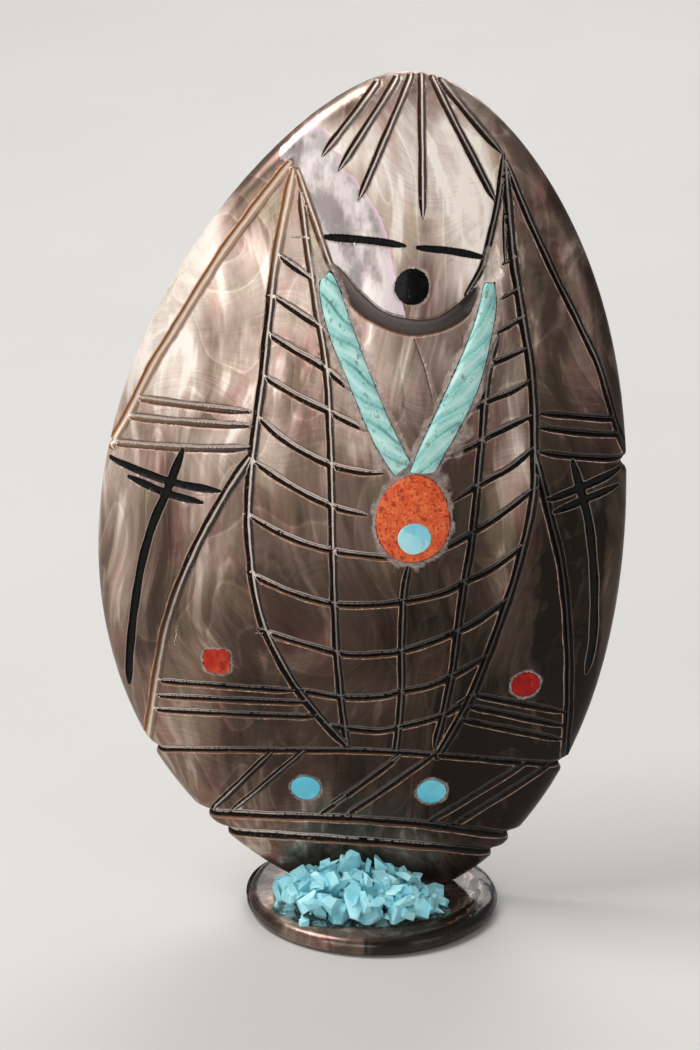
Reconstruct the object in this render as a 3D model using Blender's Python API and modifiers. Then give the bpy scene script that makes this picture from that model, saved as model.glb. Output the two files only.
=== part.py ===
"""Corn maiden carving: a leaning egg-shaped slab of black-lip shell on a round shell base.

Metres, +Z up. The origin is the centre of the base's underside. The front of the slab
faces -Y, and +X is to the viewer's right. The carving is laid out on a grid: x is counted
from the origin and v from the cut foot of the slab, in steps of the slab's height / GRID.
"""
import math
import random

import bmesh
import bpy
from mathutils import Vector

# Driving dimensions of the base
BASE_WIDTH = 0.0310
BASE_DEPTH = 0.0300
BASE_THICK = 0.0024
BASE_ROUND = 0.0008

# Gap that touching pieces keep, and the glue line round each inlay
GAP = 0.0003
GLUE_LINE = 0.0003

# Driving dimensions of the slab
SLAB_HEIGHT = 0.1010
SLAB_THICK = 0.0042
RIM_THICK = 0.0028
EDGE_LEFT = 0.0015
EDGE_RIGHT = 0.0034
BULGE_ACROSS = 0.070
BULGE_ALONG = 0.120
FOOT_FRONT = -0.0006

# Driving dimensions of the cuts
GROOVE = 0.00042
FINE_GROOVE = 0.00034
BAND_GROOVE = 0.00062
STROKE = 0.00048
CHIN_CUT = 0.00095
NICK = 0.0011

# Driving dimensions of the inlays
INLAY_DEPTH = 0.0013
INLAY_PROUD = 0.00008
STRAND_WIDTH = 0.0025
PENDANT_WIDTH = 0.0086
PENDANT_HEIGHT = 0.0110
PENDANT_DOT = 0.0039
MOUTH = 0.0040
CORAL_DOT = 0.0034
SKIRT_DOT = 0.0035

# The slab's own drawing grid
GRID = 101.0
STEP = SLAB_HEIGHT / GRID
SEAT = BASE_THICK + GAP

# Egg outline in grid steps: centre, half sizes, lean, bow and the taper of its width
EGG_V = 49.0
EGG_HALF_V = 51.95
EGG_X = -1.8
EGG_HALF_X = 30.9
EGG_LEAN = 2.3
EGG_BOW = (3.9, -1.7)
EGG_TAPER = (-0.061, -0.045, -0.012, -0.115)

bpy.ops.object.select_all(action="DESELECT")
for old in list(bpy.data.objects):
    bpy.data.objects.remove(old, do_unlink=True)

parts = bpy.data.collections.new("corn_maiden")
cutters = bpy.data.collections.new("slab_cuts")
strand_cuts = bpy.data.collections.new("strand_cuts")
for collection in (parts, cutters, strand_cuts):
    bpy.context.scene.collection.children.link(collection)


def material(name, colour, roughness):
    """A plain material in the piece's own colour."""
    made = bpy.data.materials.new(name)
    made.use_nodes = True
    shader = made.node_tree.nodes["Principled BSDF"]
    shader.inputs["Base Color"].default_value = (*colour, 1.0)
    shader.inputs["Roughness"].default_value = roughness
    shader.inputs["Metallic"].default_value = 0.0
    return made


SHELL = material("black_lip_shell", (0.20, 0.16, 0.14), 0.22)
BASE_SHELL = material("base_shell", (0.26, 0.20, 0.17), 0.20)
TURQUOISE = material("turquoise", (0.28, 0.66, 0.72), 0.45)
DOT_BLUE = material("turquoise_dot", (0.22, 0.62, 0.72), 0.40)
STRAND_BLUE = material("pale_turquoise", (0.45, 0.68, 0.66), 0.42)
ORANGE = material("spiny_oyster", (0.72, 0.20, 0.06), 0.35)
CORAL = material("coral", (0.60, 0.08, 0.05), 0.35)
JET = material("jet", (0.012, 0.012, 0.014), 0.25)


def outline(angle):
    """The egg's outline as a point (x, v) in grid steps."""
    h = math.sin(angle)
    taper = 1.0 + sum(k * h ** (i + 1) for i, k in enumerate(EGG_TAPER))
    x = EGG_X + EGG_LEAN * h + EGG_BOW[0] * h ** 2 + EGG_BOW[1] * h ** 3
    x += EGG_HALF_X * math.cos(angle) * taper
    return x, EGG_V + EGG_HALF_V * h


def front(x, z):
    """Where the bulging front of the slab is at (x, z), counted from the front of its foot."""
    middle = SEAT + 0.468 * SLAB_HEIGHT
    along = ((z - middle) ** 2 - (SEAT - middle) ** 2) / (2 * BULGE_ALONG)
    across = (x - EGG_X * STEP) ** 2 / (2 * BULGE_ACROSS)
    return FOOT_FRONT + along + across


def place(x, v):
    """A grid point as world x and z."""
    return x * STEP, SEAT + v * STEP


def finish(bm, name, look, collection=parts, smooth=True):
    """Makes an object of a bmesh, with its own material and smooth shading."""
    bmesh.ops.recalc_face_normals(bm, faces=bm.faces)
    if bm.calc_volume(signed=True) < 0:
        bmesh.ops.reverse_faces(bm, faces=bm.faces)
    mesh = bpy.data.meshes.new(name)
    bm.to_mesh(mesh)
    bm.free()
    if smooth:
        mesh.shade_smooth()
        mesh.set_sharp_from_angle(angle=math.radians(40))
    obj = bpy.data.objects.new(name, mesh)
    collection.objects.link(obj)
    if look is None:
        obj.hide_render = True
        obj.display_type = "WIRE"
    else:
        mesh.materials.append(look)
    return obj


def smooth_path(points, reach):
    """A smooth path through a few grid points, with a point about every reach steps."""
    ends = [points[0], *points, points[-1]]
    path = []
    for i in range(1, len(ends) - 2):
        p0, p1, p2, p3 = (Vector(p) for p in ends[i - 1:i + 3])
        count = max(1, round((p2 - p1).length / reach))
        for k in range(count):
            t = k / count
            path.append(0.5 * (2 * p1 + (p2 - p0) * t + (2 * p0 - 5 * p1 + 4 * p2 - p3) * t ** 2
                               + (3 * p1 - p0 - 3 * p2 + p3) * t ** 3))
    path.append(Vector(points[-1]))
    return path


def bowed(start, end, sag):
    """A line from start to end that bows sag steps to its left at the middle."""
    a, b = Vector(start), Vector(end)
    side = Vector((a.y - b.y, b.x - a.x)).normalized()
    return [tuple(a.lerp(b, t) + side * sag * 4 * t * (1 - t)) for t in (0.0, 0.3, 0.7, 1.0)]


def welded(curve_obj, collection):
    """The curve as a closed mesh object, with its end caps welded on."""
    bpy.context.view_layer.update()
    depsgraph = bpy.context.evaluated_depsgraph_get()
    mesh = bpy.data.meshes.new_from_object(curve_obj.evaluated_get(depsgraph))
    bm = bmesh.new()
    bm.from_mesh(mesh)
    bmesh.ops.remove_doubles(bm, verts=bm.verts, dist=0.000005)
    bmesh.ops.recalc_face_normals(bm, faces=bm.faces)
    bm.to_mesh(mesh)
    bm.free()
    solid = bpy.data.objects.new(curve_obj.name + "_cut", mesh)
    solid.matrix_world = curve_obj.matrix_world
    solid.hide_render = True
    solid.display_type = "WIRE"
    collection.objects.link(solid)
    bpy.data.objects.remove(curve_obj, do_unlink=True)
    return solid


def v_cut(name, points, half_width, taper=(0.55, 0.55), lift=0.0, reach=7.5, collection=cutters):
    """A V-shaped cut along grid points: a square rod on edge, half sunk in the front."""
    path = smooth_path(points, reach)
    curve = bpy.data.curves.new(name, "CURVE")
    curve.dimensions = "3D"
    curve.twist_mode = "Z_UP"
    curve.bevel_depth = half_width
    curve.bevel_resolution = 0
    curve.use_fill_caps = True
    spline = curve.splines.new("POLY")
    spline.points.add(len(path) - 1)
    last = len(path) - 1
    for i, (point, p) in enumerate(zip(spline.points, path)):
        x, z = place(p.x, p.y)
        point.co = (x, z, lift - front(x, z), 1.0)
        t = i / last
        point.radius = 1.0
        if t < 0.2:
            point.radius = taper[0] + (1 - taper[0]) * t / 0.2
        if t > 0.8:
            point.radius = taper[1] + (1 - taper[1]) * (1 - t) / 0.2
    obj = bpy.data.objects.new(name, curve)
    obj.rotation_euler = (math.radians(90), 0.0, 0.0)
    parts.objects.link(obj)
    return welded(obj, collection)


def nick(name, x, v, size=NICK):
    """A V nick through the slab's rim, where a band runs round the edge."""
    x, z = place(x, v)
    curve = bpy.data.curves.new(name, "CURVE")
    curve.dimensions = "3D"
    curve.twist_mode = "Z_UP"
    curve.bevel_depth = size
    curve.bevel_resolution = 0
    curve.use_fill_caps = True
    spline = curve.splines.new("POLY")
    spline.points.add(1)
    spline.points[0].co = (x, front(x, z) - 2 * SLAB_THICK, z, 1.0)
    spline.points[1].co = (x, front(x, z) + 3 * SLAB_THICK, z, 1.0)
    obj = bpy.data.objects.new(name, curve)
    parts.objects.link(obj)
    return welded(obj, cutters)


def rim_at(v, side):
    """Where the outline crosses height v, on the left (-1) or on the right (1)."""
    h = max(-1.0, min(1.0, (v - EGG_V) / EGG_HALF_V))
    angle = math.asin(h)
    return outline(angle if side > 0 else math.pi - angle)[0]


# Slab
def slab():
    """The egg-shaped slab: a flattened ball, its front bulging and its rim rounded."""
    bm = bmesh.new()
    bmesh.ops.create_uvsphere(bm, u_segments=56, v_segments=14, radius=1.0)
    for vert in bm.verts:
        share = min(1.0, math.hypot(vert.co.x, vert.co.y))
        angle = math.atan2(vert.co.y, vert.co.x)
        rim_x, rim_v = outline(angle)
        x, z = place(EGG_X + share * (rim_x - EGG_X), EGG_V + share * (rim_v - EGG_V))
        inset = (1.0 - share) * math.hypot(rim_x - EGG_X, rim_v - EGG_V) * STEP
        rightness = 0.5 + 0.5 * math.cos(angle)
        edge = EDGE_LEFT + (EDGE_RIGHT - EDGE_LEFT) * rightness ** 2
        near = max(0.0, 1.0 - inset / edge)
        roll = 1.0 - math.sqrt(max(0.0, 1.0 - near ** 2))
        y = front(x, z)
        if vert.co.z >= -1e-6:
            y += roll * RIM_THICK / 2
        else:
            thin = min(1.0, inset / (0.35 * EGG_HALF_X * STEP))
            thick = RIM_THICK + (SLAB_THICK - RIM_THICK) * math.sin(thin * math.pi / 2)
            y += thick - roll * RIM_THICK / 2
        vert.co = (x, y, z)
    return finish(bm, "shell_slab", SHELL)


def foot_cut():
    """A block that takes the egg's tip off, so that the slab has a flat foot."""
    bm = bmesh.new()
    bmesh.ops.create_cube(bm, size=1.0)
    size = (EGG_HALF_X * STEP * 2, SLAB_HEIGHT / 2, SLAB_HEIGHT / 5)
    bmesh.ops.scale(bm, vec=size, verts=bm.verts)
    bmesh.ops.translate(bm, vec=(0.0, 0.0, SEAT - size[2] / 2), verts=bm.verts)
    return finish(bm, "foot_cut", None, cutters, smooth=False)


# Inlays
def disc(name, x, v, width, height, top, bottom, look, collection=parts, sides=24):
    """A round or oval inlay that follows the slab's front from top to bottom."""
    bm = bmesh.new()
    bmesh.ops.create_cone(bm, cap_ends=True, cap_tris=True, segments=sides,
                          radius1=0.5, radius2=0.5, depth=1.0)
    cx, cz = place(x, v)
    for vert in bm.verts:
        px = cx + vert.co.x * width
        pz = cz + vert.co.y * height
        py = front(px, pz) + (-top if vert.co.z > 0 else bottom)
        vert.co = (px, py, pz)
    return finish(bm, name, look, collection)


def inlay(name, x, v, width, height, look, depth=INLAY_DEPTH, sides=24, pocket_in=None):
    """A disc and the pocket that holds it, with the glue line all round."""
    made = disc(name, x, v, width, height, INLAY_PROUD, depth, look, sides=sides)
    wide, tall = width + 2 * GLUE_LINE, height + 2 * GLUE_LINE
    disc(name + "_pocket", x, v, wide, tall, SLAB_THICK / 2, depth + GLUE_LINE,
         None, pocket_in or cutters, sides)
    return made


def strand(name, points, width, top, bottom, grow, look, collection=parts):
    """A strand of the necklace: a strip along a path, from top to bottom of its pocket."""
    path = smooth_path(points, 4.0)
    first, last = path[0], path[-1]
    path[0] = first + (first - path[1]).normalized() * grow / STEP
    path[-1] = last + (last - path[-2]).normalized() * grow / STEP
    bm = bmesh.new()
    bmesh.ops.create_cube(bm, size=1.0)
    long_edges = [e for e in bm.edges if abs(e.verts[0].co.x - e.verts[1].co.x) > 0.5]
    bmesh.ops.subdivide_edges(bm, edges=long_edges, cuts=len(path) - 2, use_grid_fill=True)
    for vert in bm.verts:
        i = round((vert.co.x + 0.5) * (len(path) - 1))
        ahead = path[min(i + 1, len(path) - 1)] - path[max(i - 1, 0)]
        side = Vector((-ahead.y, ahead.x)).normalized()
        p = path[i] + side * 2 * vert.co.y * (width / 2 + grow) / STEP
        x, z = place(p.x, p.y)
        vert.co = (x, front(x, z) + (-top if vert.co.z > 0 else bottom), z)
    return finish(bm, name, look, collection, smooth=False)


def cut(target, collection):
    """Takes a collection of cutters out of a piece."""
    boolean = target.modifiers.new("cuts", "BOOLEAN")
    boolean.operation = "DIFFERENCE"
    boolean.operand_type = "COLLECTION"
    boolean.collection = collection
    boolean.solver = "EXACT"


maiden = slab()
foot_cut()

# Face, head and robe in grid steps
CROWN_V = 100.6
RAY_TOPS = (-0.5, 1.4, 2.9, 4.2, 5.3, 6.3)
RAY_FEET = ((-6.9, 92.2), (-5.0, 90.8), (-2.6, 87.8), (4.5, 85.7), (12.5, 87.7), (13.4, 92.1))
for i, (top_x, ray_end) in enumerate(zip(RAY_TOPS, RAY_FEET)):
    v_cut(f"ray_{i + 1}", [(top_x, CROWN_V), ray_end], GROOVE, taper=(0.9, 0.4))

CHIN_X, CHIN_V, CHIN_R = 2.5, 83.9, 9.6
JAW = (196, 340)
chin = []
for k in range(9):
    turn = math.radians(JAW[0] + (JAW[1] - JAW[0]) * k / 8)
    chin.append((CHIN_X + CHIN_R * math.cos(turn), CHIN_V + CHIN_R * math.sin(turn)))
v_cut("chin", chin, CHIN_CUT, taper=(0.45, 0.45), lift=0.0003, reach=3.0)
v_cut("cheek_left", [(-9.8, 90.2), (-8.3, 86.6), (-7.0, 82.6)], GROOVE)
v_cut("cheek_right", [(13.5, 91.8), (13.0, 86.9), (11.6, 81.6)], GROOVE)
v_cut("eye_left", bowed((-6.3, 83.4), (2.4, 82.7), 0.2), STROKE, taper=(0.5, 0.5))
v_cut("eye_right", bowed((4.1, 82.5), (11.0, 81.4), 0.2), STROKE, taper=(0.5, 0.5))

ROBE_LEFT = ((-10.8, 91.0), (-18.4, 80.9), (-25.2, 69.6), (-30.4, 58.9))
ROBE_RIGHT = ((14.2, 91.2), (19.2, 80.0), (25.2, 67.8), (29.2, 56.0))
v_cut("robe_left", ROBE_LEFT, GROOVE, taper=(0.6, 1.0))
v_cut("robe_right", ROBE_RIGHT, GROOVE, taper=(0.6, 1.0))

# Cob outline: its half width at heights from the neck of the ear down to its tip
COB_X = 1.5
COB = ((91.3, 12.1), (71.8, 14.9), (53.5, 16.4), (38.1, 13.8), (30.4, 11.1), (21.2, 5.3))


def cob_half(v):
    """Half the cob's width at height v, from its stations."""
    for (v1, w1), (v0, w0) in zip(COB, COB[1:]):
        if v >= v0:
            t = min(1.0, (v - v0) / (v1 - v0))
            return w0 + (w1 - w0) * t
    return COB[-1][1]


for side, name in ((-1, "left"), (1, "right")):
    v_cut("cob_" + name, [(COB_X + side * w, v) for v, w in COB], GROOVE, taper=(0.6, 0.8))

# Lines between the rows of kernels
v_cut("row_line_left", ((-9.6, 89.0), (-7.2, 75.5), (-5.7, 60.0), (-5.2, 46.0), (-4.4, 33.0),
                        (-3.2, 22.0)), GROOVE)
v_cut("row_line_right", ((14.0, 81.0), (12.2, 69.5), (11.3, 57.0), (10.4, 44.0), (8.9, 30.6),
                         (7.2, 21.3)), GROOVE)
v_cut("row_line_middle", ((3.5, 45.2), (3.1, 34.0), (2.8, 21.5)), GROOVE)

# Kernel rows: heights at the left edge, at the lowest point and at the right edge
LOWEST_X = 1.5
FULL_ROWS = ((43.6, 40.4, 46.2), (36.1, 34.0, 40.0), (29.2, 28.1, 33.4), (24.3, 23.7, 28.0))
SPLIT_ROWS = ((80.6, 76.6, -7.8), (76.3, 66.0, -5.6), (72.1, 60.6, -3.2), (67.4, 58.6, -1.2),
              (62.6, 57.0, 0.6), (57.3, 52.1, -0.6), (50.9, 46.3, 1.6))
RIGHT_ROWS = ((80.8, 80.2, 14.0), (77.4, 75.8, 13.6), (74.0, 71.6, 13.0), (70.6, 66.4, 12.0),
              (67.0, 61.2, 10.0), (62.8, 56.2, 6.6), (58.6, 53.2, 8.8), (53.4, 46.2, 7.6))


def row_point(x, edge_x, edge_v, low_v):
    """A kernel row's height at x, from its edge down to its lowest point."""
    t = (x - LOWEST_X) / (edge_x - LOWEST_X)
    return x, low_v + (edge_v - low_v) * abs(t) ** 1.7


for i, (left_v, low_v, right_v) in enumerate(FULL_ROWS):
    left_x = COB_X - cob_half(left_v)
    right_x = COB_X + cob_half(right_v)
    points = [row_point(left_x + (LOWEST_X - left_x) * t, left_x, left_v, low_v)
              for t in (0.0, 0.33, 0.66)]
    points += [row_point(LOWEST_X + (right_x - LOWEST_X) * t, right_x, right_v, low_v)
               for t in (0.0, 0.35, 0.7, 1.0)]
    v_cut(f"kernel_row_{i + 1}", points, FINE_GROOVE)
for i, (edge_v, end_v, end_x) in enumerate(SPLIT_ROWS):
    edge_x = COB_X - cob_half(edge_v)
    v_cut(f"kernel_left_{i + 1}", bowed((edge_x, edge_v), (end_x, end_v), -0.45), FINE_GROOVE)
for i, (edge_v, end_v, end_x) in enumerate(RIGHT_ROWS):
    edge_x = COB_X + cob_half(edge_v)
    v_cut(f"kernel_right_{i + 1}", bowed((end_x, end_v), (edge_x, edge_v), -0.45), FINE_GROOVE)

# Three stripes at each shoulder and at each cuff
SHOULDER_LEFT = ((-27.6, 63.6, 63.5), (-28.9, 61.4, 61.9), (-31.0, 58.0, 59.4))
SHOULDER_RIGHT = ((26.8, 61.7, 63.3), (27.5, 59.7, 61.6), (29.2, 56.5, 58.8))
CUFF_LEFT = ((-25.8, -9.6, 28.4, 29.1), (-25.9, -8.0, 26.4, 27.4), (-26.2, -6.8, 24.4, 25.6))
CUFF_RIGHT = ((11.6, 22.0, 28.3, 24.8), (11.0, 22.1, 26.8, 22.8), (10.2, 22.0, 25.0, 20.9))
for i, (x, v, inner) in enumerate(SHOULDER_LEFT):
    v_cut(f"shoulder_left_{i + 1}", ((x, v), (-15.2, inner)), FINE_GROOVE, (1.0, 0.6))
for i, (x, v, inner) in enumerate(SHOULDER_RIGHT):
    v_cut(f"shoulder_right_{i + 1}", ((18.6, inner), (x, v)), FINE_GROOVE, (0.6, 1.0))
for side, rows in (("left", CUFF_LEFT), ("right", CUFF_RIGHT)):
    for i, (x0, x1, v0, v1) in enumerate(rows):
        v_cut(f"cuff_{side}_{i + 1}", ((x0, v0), (x1, v1)), FINE_GROOVE)

# Arm lines and the two black crosses
v_cut("arm_left", ((-14.6, 58.8), (-21.0, 46.6), (-25.0, 34.0), (-27.0, 19.5)), GROOVE)
v_cut("arm_right", ((18.1, 58.2), (21.4, 44.6), (23.0, 31.0), (23.0, 18.1)), GROOVE)
v_cut("cross_left", ((-22.8, 57.9), (-26.0, 49.9), (-28.3, 38.6), (-29.2, 27.6)), STROKE)
v_cut("cross_right", ((22.5, 56.8), (24.7, 48.4), (25.6, 37.6), (25.1, 30.0)), STROKE)
CROSS_BARS = (((-31.1, 56.0), (-18.4, 53.7)), ((-29.0, 54.1), (-20.5, 52.2)),
              ((19.8, 52.9), (28.6, 55.6)), ((20.6, 51.4), (27.9, 53.7)))
for i, (start, end) in enumerate(CROSS_BARS):
    v_cut(f"cross_bar_{i + 1}", bowed(start, end, -0.3), STROKE, taper=(0.7, 0.5))

# Belt, the diagonal pairs of the skirt, and the two bands that run round the edge
BELT = (18.7, 16.9, 3.1)
BAND_UPPER = (9.9, 7.0, 2.1)
BAND_LOWER = (7.4, 4.3, 1.4)
for name, (left_v, right_v, sag), width in (("belt", BELT, GROOVE),
                                            ("band_upper", BAND_UPPER, BAND_GROOVE),
                                            ("band_lower", BAND_LOWER, BAND_GROOVE)):
    left_x, right_x = rim_at(left_v, -1), rim_at(right_v, 1)
    v_cut(name, bowed((left_x, left_v), (right_x, right_v), sag), width, (1.0, 1.0), 0.0, 6.0)
    nick(name + "_nick_left", left_x - 0.1, left_v)
    nick(name + "_nick_right", right_x + 0.1, right_v)
nick("robe_nick_right", rim_at(56.1, 1) + 0.4, 56.1)

SKIRT_FEET = ((-19.9, 10.3), (-17.2, 10.7), (-6.6, 11.1), (-3.3, 11.0), (6.3, 9.9), (9.5, 9.2))
SKIRT_RUN = ((7.4, 9.4), (8.6, 9.7), (9.5, 8.9), (10.0, 8.6), (11.7, 8.0), (11.6, 8.0))
for i, ((x, v), (run, rise)) in enumerate(zip(SKIRT_FEET, SKIRT_RUN)):
    v_cut(f"skirt_{i + 1}", ((x, v), (x + run, v + rise)), GROOVE)

# Inlaid discs, each in its pocket
inlay("mouth", 3.4, 78.2, MOUTH, MOUTH, JET)
inlay("coral_dot_left", -18.7, 32.1, CORAL_DOT, CORAL_DOT, CORAL)
inlay("coral_dot_right", 17.8, 29.2, CORAL_DOT, CORAL_DOT, CORAL)
inlay("skirt_dot_left", -8.1, 15.1, SKIRT_DOT, SKIRT_DOT, DOT_BLUE)
inlay("skirt_dot_right", 7.0, 14.7, SKIRT_DOT, SKIRT_DOT, DOT_BLUE)
PENDANT_X, PENDANT_V = 4.0, 51.3
pendant_cuts = bpy.data.collections.new("pendant_cuts")
bpy.context.scene.collection.children.link(pendant_cuts)
pendant = inlay("pendant", PENDANT_X, PENDANT_V, PENDANT_WIDTH, PENDANT_HEIGHT, ORANGE, sides=36)
inlay("pendant_dot", PENDANT_X + 0.2, PENDANT_V - 2.2, PENDANT_DOT, PENDANT_DOT, DOT_BLUE,
      depth=INLAY_DEPTH * 0.55, pocket_in=pendant_cuts)
cut(pendant, pendant_cuts)

# The two strands of the necklace, and the slanting cuts that make them look twisted
STRANDS = {
    "necklace_left": ((-6.1, 79.3), (-5.2, 75.0), (-3.2, 69.4), (0.2, 61.9), (2.4, 58.4)),
    "necklace_right": ((12.1, 77.6), (11.6, 73.6), (9.8, 67.4), (7.3, 62.2), (5.6, 59.4)),
}
TWISTS = 8
TWIST_SLANT = 0.9
for name, points in STRANDS.items():
    piece = strand(name, points, STRAND_WIDTH, INLAY_PROUD, INLAY_DEPTH, 0.0, STRAND_BLUE)
    strand(name + "_pocket", points, STRAND_WIDTH, SLAB_THICK / 2, INLAY_DEPTH + GLUE_LINE,
           GLUE_LINE, None, cutters)
    own_cuts = bpy.data.collections.new(name + "_twists")
    strand_cuts.children.link(own_cuts)
    path = smooth_path(points, 0.5)
    reach = STRAND_WIDTH / STEP * 0.8
    lean = TWIST_SLANT if name == "necklace_left" else -TWIST_SLANT
    for k in range(TWISTS):
        i = round((k + 0.9) / (TWISTS + 0.8) * (len(path) - 1))
        ahead = (path[min(i + 1, len(path) - 1)] - path[i - 1]).normalized()
        side = (Vector((-ahead.y, ahead.x)) + ahead * lean).normalized()
        v_cut(f"{name}_twist_{k + 1}", (path[i] - side * reach, path[i] + side * reach),
              FINE_GROOVE, taper=(1.0, 1.0), collection=own_cuts)
    cut(piece, own_cuts)

cut(maiden, cutters)


# Base
def base():
    """The round shell base, a low cylinder with rounded edges."""
    bm = bmesh.new()
    bmesh.ops.create_cone(bm, cap_ends=True, segments=48, radius1=0.5, radius2=0.5, depth=1.0)
    bmesh.ops.scale(bm, vec=(BASE_WIDTH, BASE_DEPTH, BASE_THICK), verts=bm.verts)
    bmesh.ops.translate(bm, vec=(0.0, 0.0, BASE_THICK / 2), verts=bm.verts)
    obj = finish(bm, "shell_base", BASE_SHELL)
    bevel = obj.modifiers.new("rounded_edges", "BEVEL")
    bevel.width = BASE_ROUND
    bevel.segments = 2
    bevel.limit_method = "ANGLE"
    return obj


base()

# Turquoise chips at the foot. A heap is a box with sloping sides that is broken into chips:
# each chip keeps the part of the heap that is nearest to its own seed. The seeds' rows are
# in mm: ahead of the slab's foot or behind it, above the base, and across.
HEAP_CLEAR = 0.0004
HEAP_LEFT, HEAP_RIGHT = 0.0120, 0.0088
HEAP_DEEP, HEAP_HIGH = 0.0108, 0.0052
BACK_LEFT, BACK_RIGHT = 0.0078, 0.0074
BACK_DEEP, BACK_HIGH = 0.0034, 0.0025
CHIP_LEAST = 1.2e-9
FRONT_SEEDS = (
    (2.0, 3.3, (-10.2, -7.4, -4.6, -0.8, 2.7, 5.6)),
    (2.4, 0.7, (-9.0, -5.8, -2.6, 0.9, 4.2, 7.2)),
    (5.4, 2.2, (-8.4, -5.0, -1.9, 1.8, 4.6)),
    (5.8, 0.4, (-10.2, -6.6, -3.4, 0.2, 3.2, 6.4)),
    (9.0, 0.7, (-6.6, -3.4, 0.0, 2.9)),
)
BACK_SEEDS = ((1.4, 1.2, (-6.0, -3.0, 0.0, 3.0, 5.6)),)


def slice_off(bm, point, normal):
    """Cuts away what lies beyond a plane and closes the cut."""
    bmesh.ops.bisect_plane(bm, geom=bm.verts[:] + bm.edges[:] + bm.faces[:], dist=1e-7,
                           plane_co=point, plane_no=normal, clear_outer=True)
    bmesh.ops.holes_fill(bm, edges=[e for e in bm.edges if e.is_boundary], sides=0)


def heap(name, low, high, slopes, rows, near, way, rng):
    """Breaks the box from low to high, less its slopes, into chips a gap apart."""
    seeds = []
    for away, up, columns in rows:
        for x in columns:
            jitter = Vector([rng.uniform(-0.5, 0.5), rng.uniform(-0.5, 0.5),
                             rng.uniform(-0.4, 0.4)])
            place_mm = Vector((x, way * away, up)) + jitter
            seeds.append(Vector((0.0, near, low[2])) + place_mm / 1000)
    made = 0
    for seed in seeds:
        bm = bmesh.new()
        bmesh.ops.create_cube(bm, size=1.0)
        for vert in bm.verts:
            vert.co = Vector([low[k] if vert.co[k] < 0 else high[k] for k in range(3)])
        for point, normal in slopes:
            slice_off(bm, Vector(point), Vector(normal).normalized())
        for other in seeds:
            if other is seed or not bm.faces:
                continue
            away = (other - seed).normalized()
            slice_off(bm, (seed + other) / 2 - away * GAP / 2, away)
        whole = len(bm.faces) > 3 and bm.calc_volume() > CHIP_LEAST
        if whole:
            made += 1
            bmesh.ops.remove_doubles(bm, verts=bm.verts, dist=0.00008)
            hull = bmesh.ops.convex_hull(bm, input=bm.verts)
            loose = [g for g in hull["geom_interior"] if isinstance(g, bmesh.types.BMVert)]
            bmesh.ops.delete(bm, geom=loose, context="VERTS")
            stale = set(bm.faces) - {g for g in hull["geom"] if isinstance(g, bmesh.types.BMFace)}
            bmesh.ops.delete(bm, geom=list(stale), context="FACES_ONLY")
            finish(bm, f"{name}_{made}", TURQUOISE, smooth=False)
        else:
            bm.free()


chance = random.Random(11)
FLOOR = BASE_THICK + GAP
TOP = FLOOR + HEAP_HIGH
HEAP_FRONT = FOOT_FRONT - HEAP_DEEP
lean_back = (front(0.0, TOP) - front(0.0, FLOOR)) / HEAP_HIGH
heap("chip_front",
     (-HEAP_LEFT, HEAP_FRONT, FLOOR), (HEAP_RIGHT, 0.0, TOP),
     (((0.0, front(0.0, FLOOR) - HEAP_CLEAR, FLOOR), (0.0, 1.0, -lean_back)),
      ((0.0, FOOT_FRONT - 0.39 * HEAP_DEEP, TOP), (0.0, -0.52, 1.0)),
      ((0.0, HEAP_FRONT, FLOOR + 0.0009), (0.0, -1.0, 0.62)),
      ((-HEAP_LEFT / 3, 0.0, TOP), (-0.42, 0.0, 1.0)),
      ((HEAP_RIGHT / 7, 0.0, TOP), (0.48, 0.0, 1.0)),
      ((-HEAP_LEFT, FOOT_FRONT - 0.45 * HEAP_DEEP, 0.0), (-0.72, -0.8, 0.15)),
      ((HEAP_RIGHT, FOOT_FRONT - 0.5 * HEAP_DEEP, 0.0), (0.75, -0.75, 0.15))),
     FRONT_SEEDS, FOOT_FRONT, -1, chance)
BACK_NEAR = FOOT_FRONT + SLAB_THICK + HEAP_CLEAR
BACK_FAR = BACK_NEAR + BACK_DEEP
BACK_TOP = FLOOR + BACK_HIGH
heap("chip_back",
     (-BACK_LEFT, BACK_NEAR, FLOOR), (BACK_RIGHT, BACK_FAR, BACK_TOP),
     (((0.0, BACK_FAR, FLOOR + 0.0007), (0.0, 1.0, 0.9)),
      ((-0.6 * BACK_LEFT, 0.0, BACK_TOP), (-0.5, 0.0, 1.0)),
      ((0.55 * BACK_RIGHT, 0.0, BACK_TOP), (0.5, 0.0, 1.0))),
     BACK_SEEDS, BACK_NEAR, 1, chance)
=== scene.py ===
# %% [markdown]
# # A corn maiden carved in mother-of-pearl
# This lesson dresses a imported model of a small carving: an egg-shaped slab of black-lip
# shell with a maiden and an ear of corn incised in it, inlaid with turquoise, coral and
# orange shell, and glued upright on a round shell base. Each step first says what the real
# thing is, then builds it.

# %% Load the fixed frame
import math
import random

import bmesh
import bpy
import numpy as np
from mathutils import Matrix, Vector

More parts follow.
